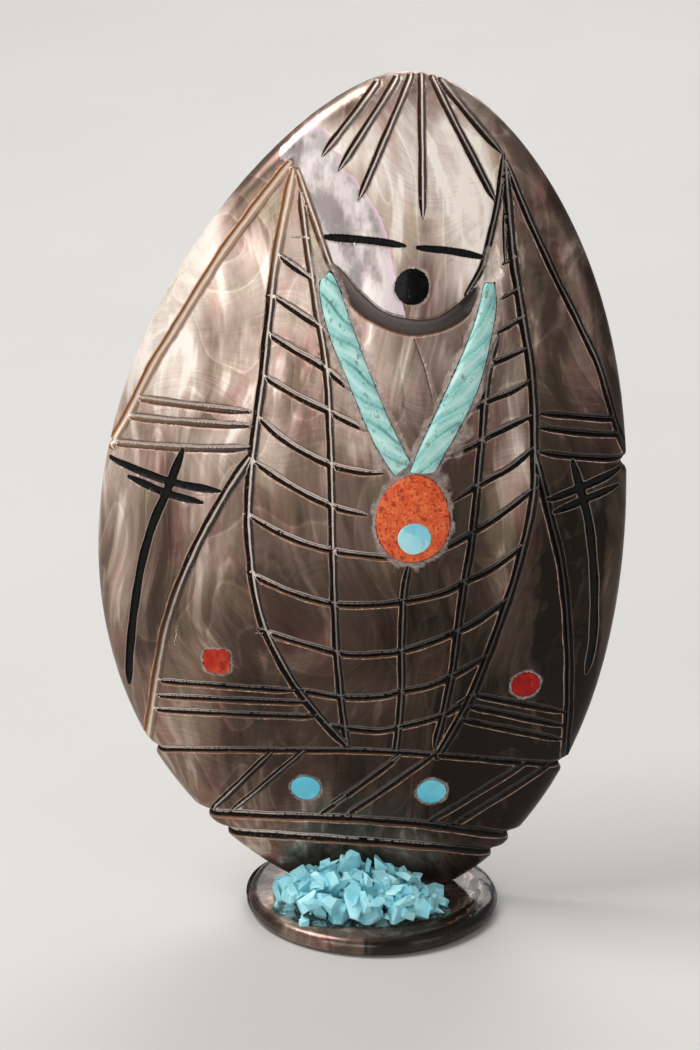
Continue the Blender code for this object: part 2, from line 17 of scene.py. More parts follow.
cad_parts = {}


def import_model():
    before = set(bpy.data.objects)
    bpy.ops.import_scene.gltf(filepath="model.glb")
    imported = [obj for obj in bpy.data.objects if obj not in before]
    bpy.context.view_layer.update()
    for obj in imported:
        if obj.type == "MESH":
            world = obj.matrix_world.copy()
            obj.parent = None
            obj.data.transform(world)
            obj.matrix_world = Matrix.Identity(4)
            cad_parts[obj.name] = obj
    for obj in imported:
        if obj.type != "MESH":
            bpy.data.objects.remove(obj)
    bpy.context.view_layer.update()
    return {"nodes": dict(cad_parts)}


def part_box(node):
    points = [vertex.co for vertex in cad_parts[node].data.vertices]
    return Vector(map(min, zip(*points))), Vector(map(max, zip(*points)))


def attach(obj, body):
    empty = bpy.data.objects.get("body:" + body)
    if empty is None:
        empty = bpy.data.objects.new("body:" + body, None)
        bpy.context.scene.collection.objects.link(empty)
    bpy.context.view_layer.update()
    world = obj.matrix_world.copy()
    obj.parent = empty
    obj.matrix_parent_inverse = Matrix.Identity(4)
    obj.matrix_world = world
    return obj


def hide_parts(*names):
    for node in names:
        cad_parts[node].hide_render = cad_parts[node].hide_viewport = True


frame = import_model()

slab_low, slab_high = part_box("shell_slab")
base_low, base_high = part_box("shell_base")

# %% [markdown]
# ## Camera
# The photograph looks down on the figure by about 21 degrees through a long lens, and is
# turned by less than a degree. We write the camera's three axes out, so that nothing is
# left to a constraint.

# %% Camera
LOOK_DOWN = math.radians(21.0)
TURNED = math.radians(0.84)
STANDS_AT = (-0.003257, -0.41802, 0.21006)
LONG_LENS, SENSOR = 130.0, 36.0
right = Vector((1, 0, 0))
up = Vector((0, math.sin(LOOK_DOWN), math.cos(LOOK_DOWN)))
ahead = Vector((0, math.cos(LOOK_DOWN), -math.sin(LOOK_DOWN)))
cam_x = right * math.cos(TURNED) + up * math.sin(TURNED)
cam_y = up * math.cos(TURNED) - right * math.sin(TURNED)
axes = Matrix((cam_x, cam_y, -ahead)).transposed().to_4x4()
lens = bpy.data.cameras.new("photo_camera")
lens.lens, lens.sensor_width, lens.clip_start = LONG_LENS, SENSOR, 0.01
camera = bpy.data.objects.new("photo_camera", lens)
camera.matrix_world = Matrix.Translation(STANDS_AT) @ axes
bpy.context.scene.collection.objects.link(camera)
bpy.context.scene.camera = camera
print("camera at", [round(c, 3) for c in camera.location])

# %% [markdown]
# ## Small helpers
# A few helpers keep the rest readable. One links a finished bmesh into the scene and hangs it
# on the body, so that it rides on it, and hides the nodes it replaces. The class
# Paint adds shader nodes to one tree, where a value may be a plain number or a socket, and
# lays colours over one another the way a painter does.

# %% Helpers for meshes


def link(thing):
    """Puts an object into the scene."""
    bpy.context.scene.collection.objects.link(thing)
    return thing


def finished(bm, name, look, replaces=(), sharp=None):
    """Turns a bmesh into a shaded object that rides on the figure."""
    mesh = bpy.data.meshes.new(name)
    bm.to_mesh(mesh)
    bm.free()
    mesh.shade_smooth()
    if sharp is not None:
        mesh.set_sharp_from_angle(angle=math.radians(sharp))
    mesh.materials.append(look)
    piece = link(bpy.data.objects.new(name, mesh))
    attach(piece, "root")
    if replaces:
        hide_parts(*replaces)
    print(f"{name}: {len(mesh.polygons)} faces")
    return piece


def unit_ball(around, upward):
    """A ball of radius 1, to be shaped."""
    bm = bmesh.new()
    bmesh.ops.create_uvsphere(bm, u_segments=around, v_segments=upward, radius=1.0)
    return bm


def outward(bm):
    """Turns a closed mesh's faces outward."""
    bmesh.ops.recalc_face_normals(bm, faces=bm.faces)
    if bm.calc_volume(signed=True) < 0:
        bmesh.ops.reverse_faces(bm, faces=bm.faces)
    return bm


def slice_off(bm, point, normal):
    """Cuts a closed mesh with a plane and closes the cut."""
    made = bmesh.ops.bisect_plane(bm, geom=[*bm.verts, *bm.edges, *bm.faces], plane_co=point, plane_no=normal,
                                  clear_outer=True)["geom_cut"]
    edges = [g for g in made if isinstance(g, bmesh.types.BMEdge)]
    if edges:
        bmesh.ops.contextual_create(bm, geom=edges)


print("mesh helpers ready")

# %% Helpers for materials


class Paint:
    """Adds nodes to one tree, and keeps the colour that has been laid so far."""

    def __init__(self, tree, where):
        self.tree, self.where, self.colour = tree, where, None
        self.shader = tree.nodes.get("Principled BSDF")

    def node(self, kind, values=None, **settings):
        """Any shader node; a value may be a number or another node's socket."""
        made = self.tree.nodes.new("ShaderNode" + kind)
        for key, setting in settings.items():
            setattr(made, key, setting)
        for key, value in (values or {}).items():
            if isinstance(value, bpy.types.NodeSocket):
                self.tree.links.new(value, made.inputs[key])
            else:
                made.inputs[key].default_value = value
        return made

    def math(self, operation, a, b=0.0, c=0.0):
        """A Math node's result."""
        return self.node("Math", {0: a, 1: b, 2: c}, operation=operation).outputs[0]

    def times(self, first, *others):
        """Values multiplied."""
        for other in others:
            first = self.math("MULTIPLY", first, other)
        return first

    def plus(self, a, b):
        """Two values added."""
        return self.math("ADD", a, b)

    def part(self, value, share, rest):
        """A share of a value, and the rest added."""
        return self.math("MULTIPLY_ADD", value, share, rest)

    def fade(self, value, low, high, to_low=0.0, to_high=1.0):
        """A smooth step from one value to another."""
        return self.node("MapRange", {"Value": value, "From Min": low, "From Max": high, "To Min": to_low,
                                      "To Max": to_high}, interpolation_type="SMOOTHSTEP").outputs["Result"]

    def blend(self, factor, a, b, mode="MIX"):
        """Two colours mixed."""
        a, b = (v if isinstance(v, bpy.types.NodeSocket) else (*v, 1.0) for v in (a, b))
        return self.node("Mix", {0: factor, 6: a, 7: b}, data_type="RGBA", blend_type=mode).outputs[2]

    def lay(self, colour, *shares, mode="MIX"):
        """Lays a colour over the paint so far, as thickly as the product of its shares."""
        self.colour = self.blend(self.times(*shares), self.colour, colour, mode)

    def ramp(self, factor, *stops):
        """A colour ramp through (place, colour) stops."""
        made = self.node("ValToRGB", {"Fac": factor})
        line = made.color_ramp.elements
        while len(line) < len(stops):
            line.new(0.5)
        for element, (place, colour) in zip(line, stops):
            element.position = place
            element.color = (*colour, 1.0)
        return made.outputs["Color"]

    def stretched(self, scale, turn=(0.0, 0.0, 0.0), where=None):
        """Coordinates scaled and turned."""
        return self.node("Mapping", {"Vector": where or self.where, "Scale": scale, "Rotation": turn}).outputs["Vector"]

    def noise(self, scale, detail=3.0, rough=0.5, warp=0.0, stretch=None, turn=(0.0, 0.0, 0.0), where=None):
        """A noise texture's value."""
        spot = self.stretched(stretch, turn, where) if stretch else where or self.where
        return self.node("TexNoise", {"Vector": spot, "Scale": scale, "Detail": detail, "Roughness": rough,
                                      "Distortion": warp}).outputs["Fac"]

    def shifted(self, where, drift, amount):
        """Coordinates pushed along by a drift."""
        push = self.node("VectorMath", {0: drift, 1: amount}, operation="MULTIPLY").outputs[0]
        return self.node("VectorMath", {0: where, 1: push}, operation="ADD").outputs[0]

    def split(self):
        """The coordinates' three values."""
        return self.node("SeparateXYZ", {"Vector": self.where}).outputs

    def mask(self, name):
        """A stored attribute's value."""
        return self.node("Attribute", attribute_name=name).outputs["Fac"]

    def pearl(self, where, shade, clouds):
        """The pearl group's outputs."""
        return self.node("Group", {"Where": where, "Shade": shade, "Clouds": clouds}, node_tree=PEARL).outputs

    def feed(self, name, value):
        """Links a value to the shader."""
        self.tree.links.new(value, self.shader.inputs[name])

    def bump(self, height, strength, distance, under=None):
        """Links a height to the shader as a bump, over the bump under it."""
        made = self.node("Bump", {"Height": height, "Strength": strength, "Distance": distance})
        if under:
            self.tree.links.new(under, made.inputs["Normal"])
        self.feed("Normal", made.outputs["Normal"])
        return made.outputs["Normal"]


def surface(name, roughness, specular=0.5, coat=0.0, coat_rough=0.05):
    """A new material with its plain values set, and a Paint in millimetre coordinates."""
    made = bpy.data.materials.new(name)
    made.use_nodes = True
    shader = made.node_tree.nodes["Principled BSDF"]
    shader.inputs["Roughness"].default_value = roughness
    shader.inputs["Specular IOR Level"].default_value = specular
    shader.inputs["Coat Weight"].default_value = coat
    shader.inputs["Coat Roughness"].default_value = coat_rough
    paint = Paint(made.node_tree, None)
    metres = paint.node("TexCoord").outputs["Object"]
    paint.where = paint.stretched((1000.0, 1000.0, 1000.0), where=metres)
    return made, paint


print("material helpers ready")

# %% [markdown]
# ## The pearl effect
# Mother-of-pearl is thin layers of shell. Where the polish cuts through them it shows soft
# clouds drawn out along the shell's growth, hair-fine lines across them, and faint pink and
# green. Slab and base share it, so it is one node group that puts out a colour and a height.

# %% Node group: pearl


def pearl_group():
    """Clouds, hair lines and faint pink and green over a light-to-dark shade."""
    group = bpy.data.node_groups.new("pearl", "ShaderNodeTree")
    for name, way, kind in (("Where", "INPUT", "Vector"), ("Shade", "INPUT", "Float"), ("Clouds", "INPUT", "Float"),
                            ("Colour", "OUTPUT", "Color"), ("Height", "OUTPUT", "Float")):
        group.interface.new_socket(name, in_out=way, socket_type="NodeSocket" + kind)
    given = group.nodes.new("NodeGroupInput").outputs
    out = group.nodes.new("NodeGroupOutput").inputs
    p = Paint(group, given["Where"])
    drift = p.node("TexNoise", {"Vector": p.where, "Scale": 0.035, "Detail": 1.0}).outputs["Color"]
    bent = p.shifted(p.where, drift, (16.0, 16.0, 16.0))
    curl = p.shifted(bent, drift, (0.0, 0.0, 34.0))
    clouds = p.noise(1.0, 4.0, 0.55, 0.5, (0.24, 0.24, 0.055), where=bent)
    soft = p.noise(1.0, 1.0, 0.5, 0.0, (0.09, 0.09, 0.040), where=bent)
    hairs = p.noise(1.0, 3.0, 0.7, 0.0, (0.16, 0.16, 3.4), (0.0, 0.22, 0.0), curl)
    hairs = p.times(p.plus(hairs, -0.5), p.fade(p.noise(0.10, 2.0), 0.38, 0.62, 0.35, 1.25))
    grain = p.noise(1.0, 2.0, 0.6, 0.0, (1.6, 1.6, 0.22), (0.0, -0.08, 0.0), bent)
    streaks = p.fade(p.noise(1.0, 2.0, 0.5, 0.0, (0.55, 0.55, 0.035), where=bent), 0.54, 0.70)
    # Growth layers: each starts at a crisp curved edge, with a pale line, and fades towards the next
    layers = p.math("FRACT", p.times(soft, 8.0))
    edge = p.fade(p.math("ABSOLUTE", p.plus(layers, -0.5)), 0.42, 0.50)
    shade = p.part(p.plus(clouds, -0.5), given["Clouds"], -0.305)
    for value, share in ((soft, 0.40), (hairs, 0.20), (grain, 0.14), (streaks, -0.16), (layers, 0.07), (edge, -0.06)):
        shade = p.part(value, share, shade)
    p.colour = p.ramp(p.plus(shade, given["Shade"]), (0.0, (0.96, 0.87, 0.79)), (0.20, (0.56, 0.44, 0.37)),
                      (0.42, (0.235, 0.160, 0.126)), (0.64, (0.085, 0.057, 0.044)), (1.0, (0.016, 0.012, 0.009)))
    rose = p.fade(p.noise(1.3, 2.0, stretch=(0.22, 0.22, 0.09), where=bent), 0.48, 0.68)
    leaf = p.fade(p.noise(1.7, 2.0, stretch=(0.12, 0.12, 0.13), where=bent), 0.50, 0.70)
    p.lay((0.72, 0.44, 0.50), rose, 0.42, mode="SOFT_LIGHT")
    p.lay((0.46, 0.60, 0.42), leaf, 0.42, mode="SOFT_LIGHT")
    group.links.new(p.colour, out["Colour"])
    group.links.new(p.plus(hairs, grain), out["Height"])
    return group


PEARL = pearl_group()
print("node group:", PEARL.name, [s.name for s in PEARL.interface.items_tree])

# %% [markdown]
# ## The slab's form
# The slab is an egg outline, bulging to the front and hollowed behind. It is drawn on a
# grid of about a millimetre a step: x across, and v up from the foot. These functions are
# the design; they take whole arrays of points, so that a fine mesh stays quick.

# %% Egg outline and bulge
EGG_V, EGG_HALF_V, EGG_X, EGG_HALF_X = 49.0, 51.95, -1.8, 30.9
EGG_LEAN, EGG_BOW, EGG_TAPER = 2.3, (3.9, -1.7), (-0.061, -0.045, -0.012, -0.115)
SEAT = slab_low[2]
STEP = (slab_high[2] - slab_low[2]) / (EGG_V + EGG_HALF_V)
RIM_THICK, SLAB_THICK = 2.8, 4.2
EDGE_LEFT, EDGE_RIGHT = 1.5, 3.4


def outline(angle):
    """The egg's outline at an angle, in grid steps."""
    h = np.sin(angle)
    taper = 1.0 + sum(k * h ** (i + 1) for i, k in enumerate(EGG_TAPER))
    x = EGG_X + EGG_LEAN * h + EGG_BOW[0] * h ** 2 + EGG_BOW[1] * h ** 3
    return x + EGG_HALF_X * np.cos(angle) * taper, EGG_V + EGG_HALF_V * h


turns = np.linspace(-np.pi, np.pi, 2881)[:-1]
rim_x, rim_v = outline(turns)
polar = np.arctan2(rim_v - EGG_V, rim_x - EGG_X)
order = np.argsort(polar)
polar, reach_out = polar[order], np.hypot(rim_x - EGG_X, rim_v - EGG_V)[order]


def rim_reach(x, v):
    """How far the rim is from the middle, in the direction of (x, v)."""
    return np.interp(np.arctan2(v - EGG_V, x - EGG_X), polar, reach_out, period=2 * np.pi)


def bulge(x, v):
    """How far back the front surface is at (x, v), in grid steps."""
    middle = 0.468 * 101.0
    return -0.6 + ((v - middle) ** 2 - middle ** 2) / 240.0 + (x + 1.8) ** 2 / 140.0


def world(x, v, y):
    """Grid steps to metres."""
    return np.stack([x * STEP, y * 0.001, SEAT + v * STEP], axis=-1)


print("slab step", round(STEP * 1000, 4), "mm, seat", round(SEAT * 1000, 2), "mm")

# %% [markdown]
# ## The incised lines
# Every line is a hand-cut V. We list each as a few points on the grid, run a smooth curve
# through them, and give it a half width that tapers at its ends and wanders a little, as a
# hand tool does. Regular sets, such as the kernel rows, come from loops.

# %% Paths of the cuts
GROOVE, FINE, BAND = 0.58, 0.49, 0.70
TAPER_RUN, WOBBLE, UNEVEN = 2.2, 0.022, 0.06
cuts = []
wander = random.Random(5)


def smooth_path(points, reach=0.8):
    """A smooth curve through points, as an array with a point about every reach steps."""
    ends = np.array([points[0], *points, points[-1]], dtype=float)
    line = []
    for p0, p1, p2, p3 in zip(ends, ends[1:], ends[2:], ends[3:]):
        count = max(2, int(np.hypot(*(p2 - p1)) / reach))
        t = np.linspace(0, 1, count, endpoint=False)[:, None]
        line.append(0.5 * (2 * p1 + (p2 - p0) * t + (2 * p0 - 5 * p1 + 4 * p2 - p3) * t ** 2
                           + (3 * p1 - p0 - 3 * p2 + p3) * t ** 3))
    return np.vstack([*line, ends[-1][None]])


def cut(points, half, ends=(0.35, 0.35), depth=0.95, black=0.0, amber=(0.0, 0.0), soft=0.0):
    """Adds one incised line; amber is how tan its two ends are, and soft marks a shallow scoop."""
    path = smooth_path(points)
    run = np.linspace(0, 1, len(path))
    length = np.hypot(*np.diff(path, axis=0).T).sum()
    near_ends = np.minimum(run * length / TAPER_RUN, 1.0), np.minimum((1 - run) * length / TAPER_RUN, 1.0)
    taper = (ends[0] + (1 - ends[0]) * near_ends[0]) * (ends[1] + (1 - ends[1]) * near_ends[1])
    phase = wander.uniform(0, 6.28), wander.uniform(0, 6.28)
    waves = np.sin(run * length * 0.9 + phase[0]) * 0.6 + np.sin(run * length * 2.3 + phase[1]) * 0.4
    across = np.gradient(path, axis=0)
    across = np.stack([-across[:, 1], across[:, 0]], axis=1)
    across /= np.linalg.norm(across, axis=1)[:, None] + 1e-9
    path = path + across * waves[:, None] * WOBBLE
    width = half * taper * (1.0 + UNEVEN * np.sin(run * length * 1.1 + phase[1]))
    cuts.append((path, width, depth, black, np.linspace(*amber, len(path)), soft))


# Crown rays, cheeks, chin and eyes
for top, foot in (((-0.9, 99.9), (-7.1, 92.1)), ((1.3, 100.4), (-5.2, 90.6)), ((2.9, 100.6), (-2.8, 87.6)),
                  ((4.1, 100.6), (4.5, 85.5)), ((5.4, 100.4), (12.8, 87.2)), ((6.4, 100.1), (13.5, 92.3))):
    cut([top, foot], 0.50, ends=(1.0, 0.15), amber=(0.15, 0.0))
cut([(-9.8, 90.6), (-8.5, 87.0), (-6.8, 82.6), (-5.6, 79.6)], 0.50, ends=(0.5, 0.6), amber=(0.7, 0.1))
cut([(13.6, 92.3), (13.2, 88.0), (12.2, 83.2), (11.2, 79.8), (9.6, 77.2)], 0.46, ends=(0.4, 0.6))
cut([(-5.7, 80.4), (-3.7, 77.6), (-1.2, 75.3), (1.4, 74.1), (4.2, 73.65), (6.9, 74.1), (9.3, 75.6), (10.9, 77.9)],
    0.98, ends=(0.3, 0.3), depth=0.5, soft=1.0)
cut([(-6.5, 83.5), (-2.0, 83.3), (2.5, 82.7)], 0.44, ends=(0.7, 0.45), depth=0.6, black=1.0)
cut([(4.0, 82.5), (8.0, 82.0), (11.3, 81.3)], 0.44, ends=(0.55, 0.6), depth=0.6, black=1.0)

# Robe, cob outline and the lines between kernel rows
cut([(-10.6, 91.4), (-13.8, 87.3), (-18.5, 80.8), (-23.1, 73.1), (-26.6, 67.1), (-28.9, 62.1), (-31.3, 57.5)],
    0.58, ends=(0.6, 1.0), amber=(1.0, 0.8))
cut([(14.0, 91.4), (15.7, 87.3), (19.2, 80.0), (22.8, 73.0), (25.3, 67.7), (27.6, 60.4), (29.6, 55.9)],
    0.44, ends=(0.4, 1.0))
cut([(-10.3, 90.6), (-11.2, 86.0), (-12.2, 80.5), (-12.9, 74.0), (-13.6, 66.6), (-14.4, 60.2), (-15.0, 53.1),
     (-14.8, 46.5), (-13.4, 38.1), (-9.9, 30.4), (-6.2, 25.1), (-3.2, 21.4)],
    GROOVE, ends=(0.6, 0.5), amber=(1.5, -6.0))
cut([(13.8, 91.5), (14.8, 81.9), (16.2, 74.1), (17.4, 67.2), (17.9, 59.0), (17.9, 53.0), (16.6, 45.7),
     (14.6, 38.2), (11.2, 27.7), (7.5, 19.6)], GROOVE, ends=(0.5, 0.5))
cut([(-9.5, 88.4), (-8.5, 82.0), (-7.4, 75.5), (-6.2, 68.8), (-5.6, 59.6), (-5.2, 47.5), (-4.6, 34.7),
     (-3.6, 24.5), (-3.2, 21.6)], 0.50, ends=(0.3, 0.5), amber=(0.3, -0.5))
cut([(13.8, 87.0), (14.0, 80.6)], 0.30, ends=(0.2, 0.5))
cut([(13.4, 72.4), (12.3, 68.4), (11.6, 58.3), (10.9, 48.6), (9.9, 41.1), (8.9, 30.6), (7.2, 21.0)], 0.50)
cut([(3.6, 45.6), (3.1, 41.3), (3.0, 34.8), (3.1, 28.1), (2.6, 20.8)], 0.48, ends=(0.6, 0.8))

# Kernel rows: left ends, then right ends, then whole rows
for row in ([(-11.9, 81.4), (-7.8, 78.7)], [(-12.3, 76.8), (-9.3, 75.0), (-6.2, 73.2)],
            [(-12.9, 72.6), (-9.2, 70.5), (-6.4, 69.0), (-2.9, 66.3)],
            [(-13.5, 67.8), (-9.2, 65.5), (-5.7, 64.0), (-1.4, 61.9)],
            [(-14.1, 63.1), (-10.3, 60.1), (-5.7, 57.9), (-1.6, 57.0), (0.6, 57.0)],
            [(-14.5, 57.8), (-10.2, 55.2), (-5.6, 53.0), (-1.2, 51.9)],
            [(-15.2, 51.3), (-10.2, 48.8), (-5.5, 47.5), (0.2, 46.8), (3.2, 46.7)]):
    cut(row, FINE, ends=(0.5, 0.35))
for row in ([(13.7, 80.4), (15.3, 81.1)], [(13.5, 76.5), (15.8, 77.7)], [(12.9, 72.7), (16.3, 74.4)],
            [(11.6, 69.0), (16.8, 70.9)], [(9.8, 63.7), (12.2, 65.1), (14.9, 66.0), (17.4, 67.3)],
            [(6.8, 58.6), (10.4, 59.8), (12.7, 61.1), (17.7, 63.2)],
            [(8.6, 53.4), (10.5, 54.7), (12.8, 56.0), (15.1, 57.1), (17.9, 59.4)],
            [(6.9, 47.2), (10.1, 49.0), (12.9, 50.7), (15.2, 52.3), (17.9, 54.4)]):
    cut(row, FINE, ends=(0.35, 0.4))
for row in ([(-15.0, 44.1), (-10.1, 42.0), (-5.4, 40.8), (-0.8, 40.7), (2.7, 41.1), (7.3, 42.0), (10.2, 43.4),
             (13.1, 44.7), (17.2, 47.8)],
            [(-13.8, 36.9), (-8.9, 35.5), (-3.6, 34.2), (0.5, 34.3), (2.8, 34.6), (6.3, 35.7), (9.8, 37.2),
             (12.1, 38.4), (15.6, 41.1)],
            [(-9.2, 29.2), (-4.1, 28.4), (0.6, 28.5), (2.9, 29.2), (6.4, 29.9), (9.9, 31.6), (13.0, 33.6)],
            [(-6.0, 24.5), (-3.5, 24.1), (0.7, 23.7), (3.0, 24.3), (6.5, 25.2), (9.2, 26.4), (11.2, 28.3)]):
    cut(row, 0.50, ends=(0.4, 0.4))

# Shoulder and cuff stripes, arms, crosses
for v_out, v_in, x in ((63.7, 63.5, -27.7), (61.4, 61.9, -29.0), (58.0, 59.3, -31.4)):
    cut([(x, v_out), (-21.0, (v_out + v_in) / 2), (-15.0, v_in)], 0.50, ends=(0.9, 0.5), amber=(0.35, 0.0))
for v_in, v_out, x in ((63.3, 61.7, 26.9), (61.6, 59.7, 27.7), (58.8, 56.6, 29.6)):
    cut([(18.4, v_in), (22.5, (v_out + v_in) / 2 + 0.1), (x, v_out)], 0.44, ends=(0.5, 0.9))
for x0, v0, x1, v1 in ((-25.9, 28.4, -9.5, 29.0), (-26.0, 26.3, -8.0, 27.5), (-26.3, 24.3, -6.8, 25.6),
                       (11.5, 28.4, 22.6, 24.7), (10.9, 26.9, 22.7, 22.7), (10.0, 25.1, 22.4, 20.8)):
    cut([(x0, v0), ((x0 + x1) / 2, (v0 + v1) / 2 + 0.15), (x1, v1)], 0.48, ends=(0.5, 0.35))
cut([(-14.5, 58.9), (-18.3, 52.4), (-21.8, 44.9), (-24.5, 36.8), (-26.0, 28.4), (-27.3, 19.0)], 0.62,
    ends=(0.4, 0.9), amber=(-0.6, 0.9))
cut([(18.0, 58.4), (19.7, 51.7), (21.6, 44.0), (22.7, 34.7), (23.1, 26.4), (23.0, 17.6)], 0.56, ends=(0.3, 0.8))
for line in ([(-22.7, 58.2), (-24.6, 53.0), (-26.5, 48.0), (-28.0, 41.4), (-29.1, 32.6), (-29.3, 27.4)],
             [(-31.2, 56.1), (-24.8, 54.4), (-18.3, 53.8)], [(-29.0, 54.2), (-24.8, 52.9), (-20.4, 52.2)],
             [(22.4, 57.2), (24.5, 49.9), (25.5, 42.2), (25.7, 34.3), (25.1, 29.8)],
             [(19.7, 52.8), (23.7, 54.0), (28.3, 55.6)], [(20.5, 51.3), (24.0, 52.4), (27.9, 53.6)]):
    cut(line, 0.50, ends=(0.55, 0.4), depth=0.6, black=1.0)

# Belt, skirt lines and the two bands
cut([(-26.9, 18.5), (-16.0, 20.0), (-3.5, 20.9), (6.7, 20.2), (15.1, 18.7), (24.0, 16.8)], 0.48, ends=(1, 1))
for foot, top in (((-19.9, 10.0), (-12.4, 19.8)), ((-17.2, 10.4), (-8.4, 20.5)), ((-6.8, 10.9), (3.0, 20.1)),
                  ((-3.5, 11.0), (6.9, 20.0)), ((6.0, 9.6), (18.2, 18.0)), ((9.2, 9.0), (21.3, 17.4))):
    cut([foot, top], 0.48, ends=(0.4, 0.7))
cut([(-20.9, 9.9), (-13.6, 10.5), (-3.9, 10.7), (5.7, 9.8), (14.3, 7.7), (18.2, 6.8)], BAND, ends=(1, 1))
cut([(-17.9, 7.4), (-8.8, 7.6), (0.9, 7.0), (9.5, 5.8), (16.4, 4.2)], BAND, ends=(1, 1))

# Slips of the tool
for slip in ([(-10.3, 83.4), (-8.4, 83.3)], [(-15.9, 51.2), (-14.6, 51.3)], [(-15.6, 44.1), (-14.2, 44.1)],
             [(-14.2, 36.3), (-12.4, 36.4)], [(-13.4, 76.9), (-12.0, 76.6)], [(7.3, 80.6), (8.0, 81.2)],
             [(-23.3, 36.4), (-23.9, 33.1)]):
    cut(slip, 0.16, ends=(0.5, 0.5), depth=0.8)
cut([(3.8, 72.3), (4.9, 69.2), (5.7, 66.4), (6.3, 64.2)], 0.09, ends=(0.5, 0.3), depth=0.6, soft=1.0)
print("incised lines:", len(cuts), "segments:", sum(len(c[0]) - 1 for c in cuts))

# %% [markdown]
# ## The inlays' outlines
# Each inlay sits in a pocket that was ground to its shape, so slab and inlay must share one
# outline. We draw them as closed paths on the same grid, before either mesh is made. The
# two strands of the necklace are strips; the rest are rounds that are not quite round.

# %% Outlines of the inlays


def round_shape(x, v, half_x, half_v, square=2.0, wobble=0.0, seed=0, count=48):
    """A closed outline between an ellipse (square 2) and a rounded box (square 4)."""
    rng = random.Random(seed)
    phases = [rng.uniform(0, 6.28) for _ in range(3)]
    angle = np.linspace(0, 2 * np.pi, count, endpoint=False)
    c, s = np.cos(angle), np.sin(angle)
    size = (np.abs(c) ** square + np.abs(s) ** square) ** (-1.0 / square)
    size *= 1 + wobble * sum(np.sin(angle * (k + 2) + phases[k]) for k in range(3)) / 3
    return np.stack([x + half_x * size * c, v + half_v * size * s], axis=1)


def strip_shape(low_edge, high_edge):
    """A closed outline down one edge of a strip and back up the other."""
    down, up = smooth_path(low_edge, 0.7), smooth_path(high_edge, 0.7)
    return np.vstack([down, up[::-1]])


STRANDS = {
    "necklace_left": (((-7.2, 78.6), (-6.9, 76.0), (-5.8, 72.2), (-4.1, 68.3), (-0.9, 60.9), (1.7, 56.6)),
                      ((-5.8, 79.9), (-4.6, 77.4), (-3.6, 74.6), (-1.8, 70.0), (1.1, 63.2), (3.6, 58.2))),
    "necklace_right": (((11.6, 78.4), (10.7, 74.4), (8.5, 68.8), (6.0, 63.2), (4.4, 59.6), (3.4, 57.0)),
                       ((12.9, 78.4), (13.0, 74.6), (11.4, 67.0), (9.0, 61.7), (7.6, 59.2), (6.5, 57.0))),
}
ROUNDS = {
    "pendant": round_shape(4.0, 51.3, 4.15, 5.35, 2.2, 0.05, 3),
    "pendant_dot": round_shape(4.2, 49.1, 1.92, 1.92, 2.0, 0.02, 4),
    "mouth": round_shape(3.4, 78.2, 1.98, 1.98, 2.0, 0.02, 5),
    "coral_dot_left": round_shape(-18.7, 32.1, 1.62, 1.58, 3.6, 0.05, 6),
    "coral_dot_right": round_shape(17.8, 29.2, 1.66, 1.64, 2.0, 0.02, 7),
    "skirt_dot_left": round_shape(-8.1, 15.1, 1.75, 1.72, 2.0, 0.02, 8),
    "skirt_dot_right": round_shape(7.0, 14.7, 1.75, 1.72, 2.0, 0.02, 9),
}
pockets = [(strip_shape(low, high), 0.60) for low, high in STRANDS.values()]
pockets += [(shape, 0.62 if name == "pendant" else 0.32) for name, shape in ROUNDS.items() if name != "pendant_dot"]
smears = [round_shape(-7.3, 81.0, 0.85, 2.3, 2.0, 0.3, 21), round_shape(9.3, 61.0, 1.2, 2.2, 2.0, 0.4, 22),
          round_shape(7.4, 56.0, 0.8, 0.9, 2.0, 0.3, 23), round_shape(-3.9, 70.6, 0.7, 1.7, 2.0, 0.4, 24)]
empty_socket = strip_shape([(11.7, 82.2), (11.6, 80.4), (11.6, 78.6)], [(12.9, 82.4), (13.4, 80.4), (13.4, 78.6)])
print("pockets:", len(pockets))

# %% [markdown]
# ## How far is a point from a line?
# The cuts, the pockets and their glue all ask this. We answer it for many points at once,
# and only look at the points inside each path's own bounding box, which keeps it quick.

# %% Distances


def near_path(x, v, path, margin):
    """Index of the points near a path, their distance, place along it (0 to 1), and offset."""
    low, high = path.min(0) - margin, path.max(0) + margin
    near = np.nonzero((x > low[0]) & (x < high[0]) & (v > low[1]) & (v < high[1]))[0]
    if not len(near):
        return near, np.empty(0), np.empty(0), np.empty((0, 2))
    p = np.stack([x[near], v[near]], axis=1)
    best, along, offset = np.full(len(near), 1e9), np.zeros(len(near)), np.zeros((len(near), 2))
    for i, (a, b) in enumerate(zip(path, path[1:])):
        step = b - a
        t = np.clip(((p - a) @ step) / (step @ step + 1e-12), 0, 1)
        away = p - a - t[:, None] * step
        d = np.hypot(*away.T)
        closer = d < best
        best[closer], along[closer], offset[closer] = d[closer], (i + t[closer]) / (len(path) - 1), away[closer]
    return near, best, along, offset


def inside_distance(x, v, shape, margin):
    """Index of the points near a closed outline, and their distance (negative inside)."""
    closed = np.vstack([shape, shape[:1]])
    near, far, _, _ = near_path(x, v, closed, margin)
    crossings = np.zeros(len(near), dtype=int)
    for (ax, av), (bx, bv) in zip(closed, closed[1:]):
        spans = (av > v[near]) != (bv > v[near])
        crossings += spans & (x[near] < ax + (v[near] - av) * (bx - ax) / (bv - av + 1e-12))
    return near, np.where(crossings % 2 == 1, -far, far)


print("distance helpers ready")

# %% [markdown]
# ## The slab's mesh
# A ball is the easiest closed start: flattened, one half becomes the front and the other
# the back. The cuts are half a millimetre wide, so the mesh must be fine beside them and
# may stay coarse elsewhere. We split only the edges that are too long for where they are,
# push the new points back onto the ball, and repeat.

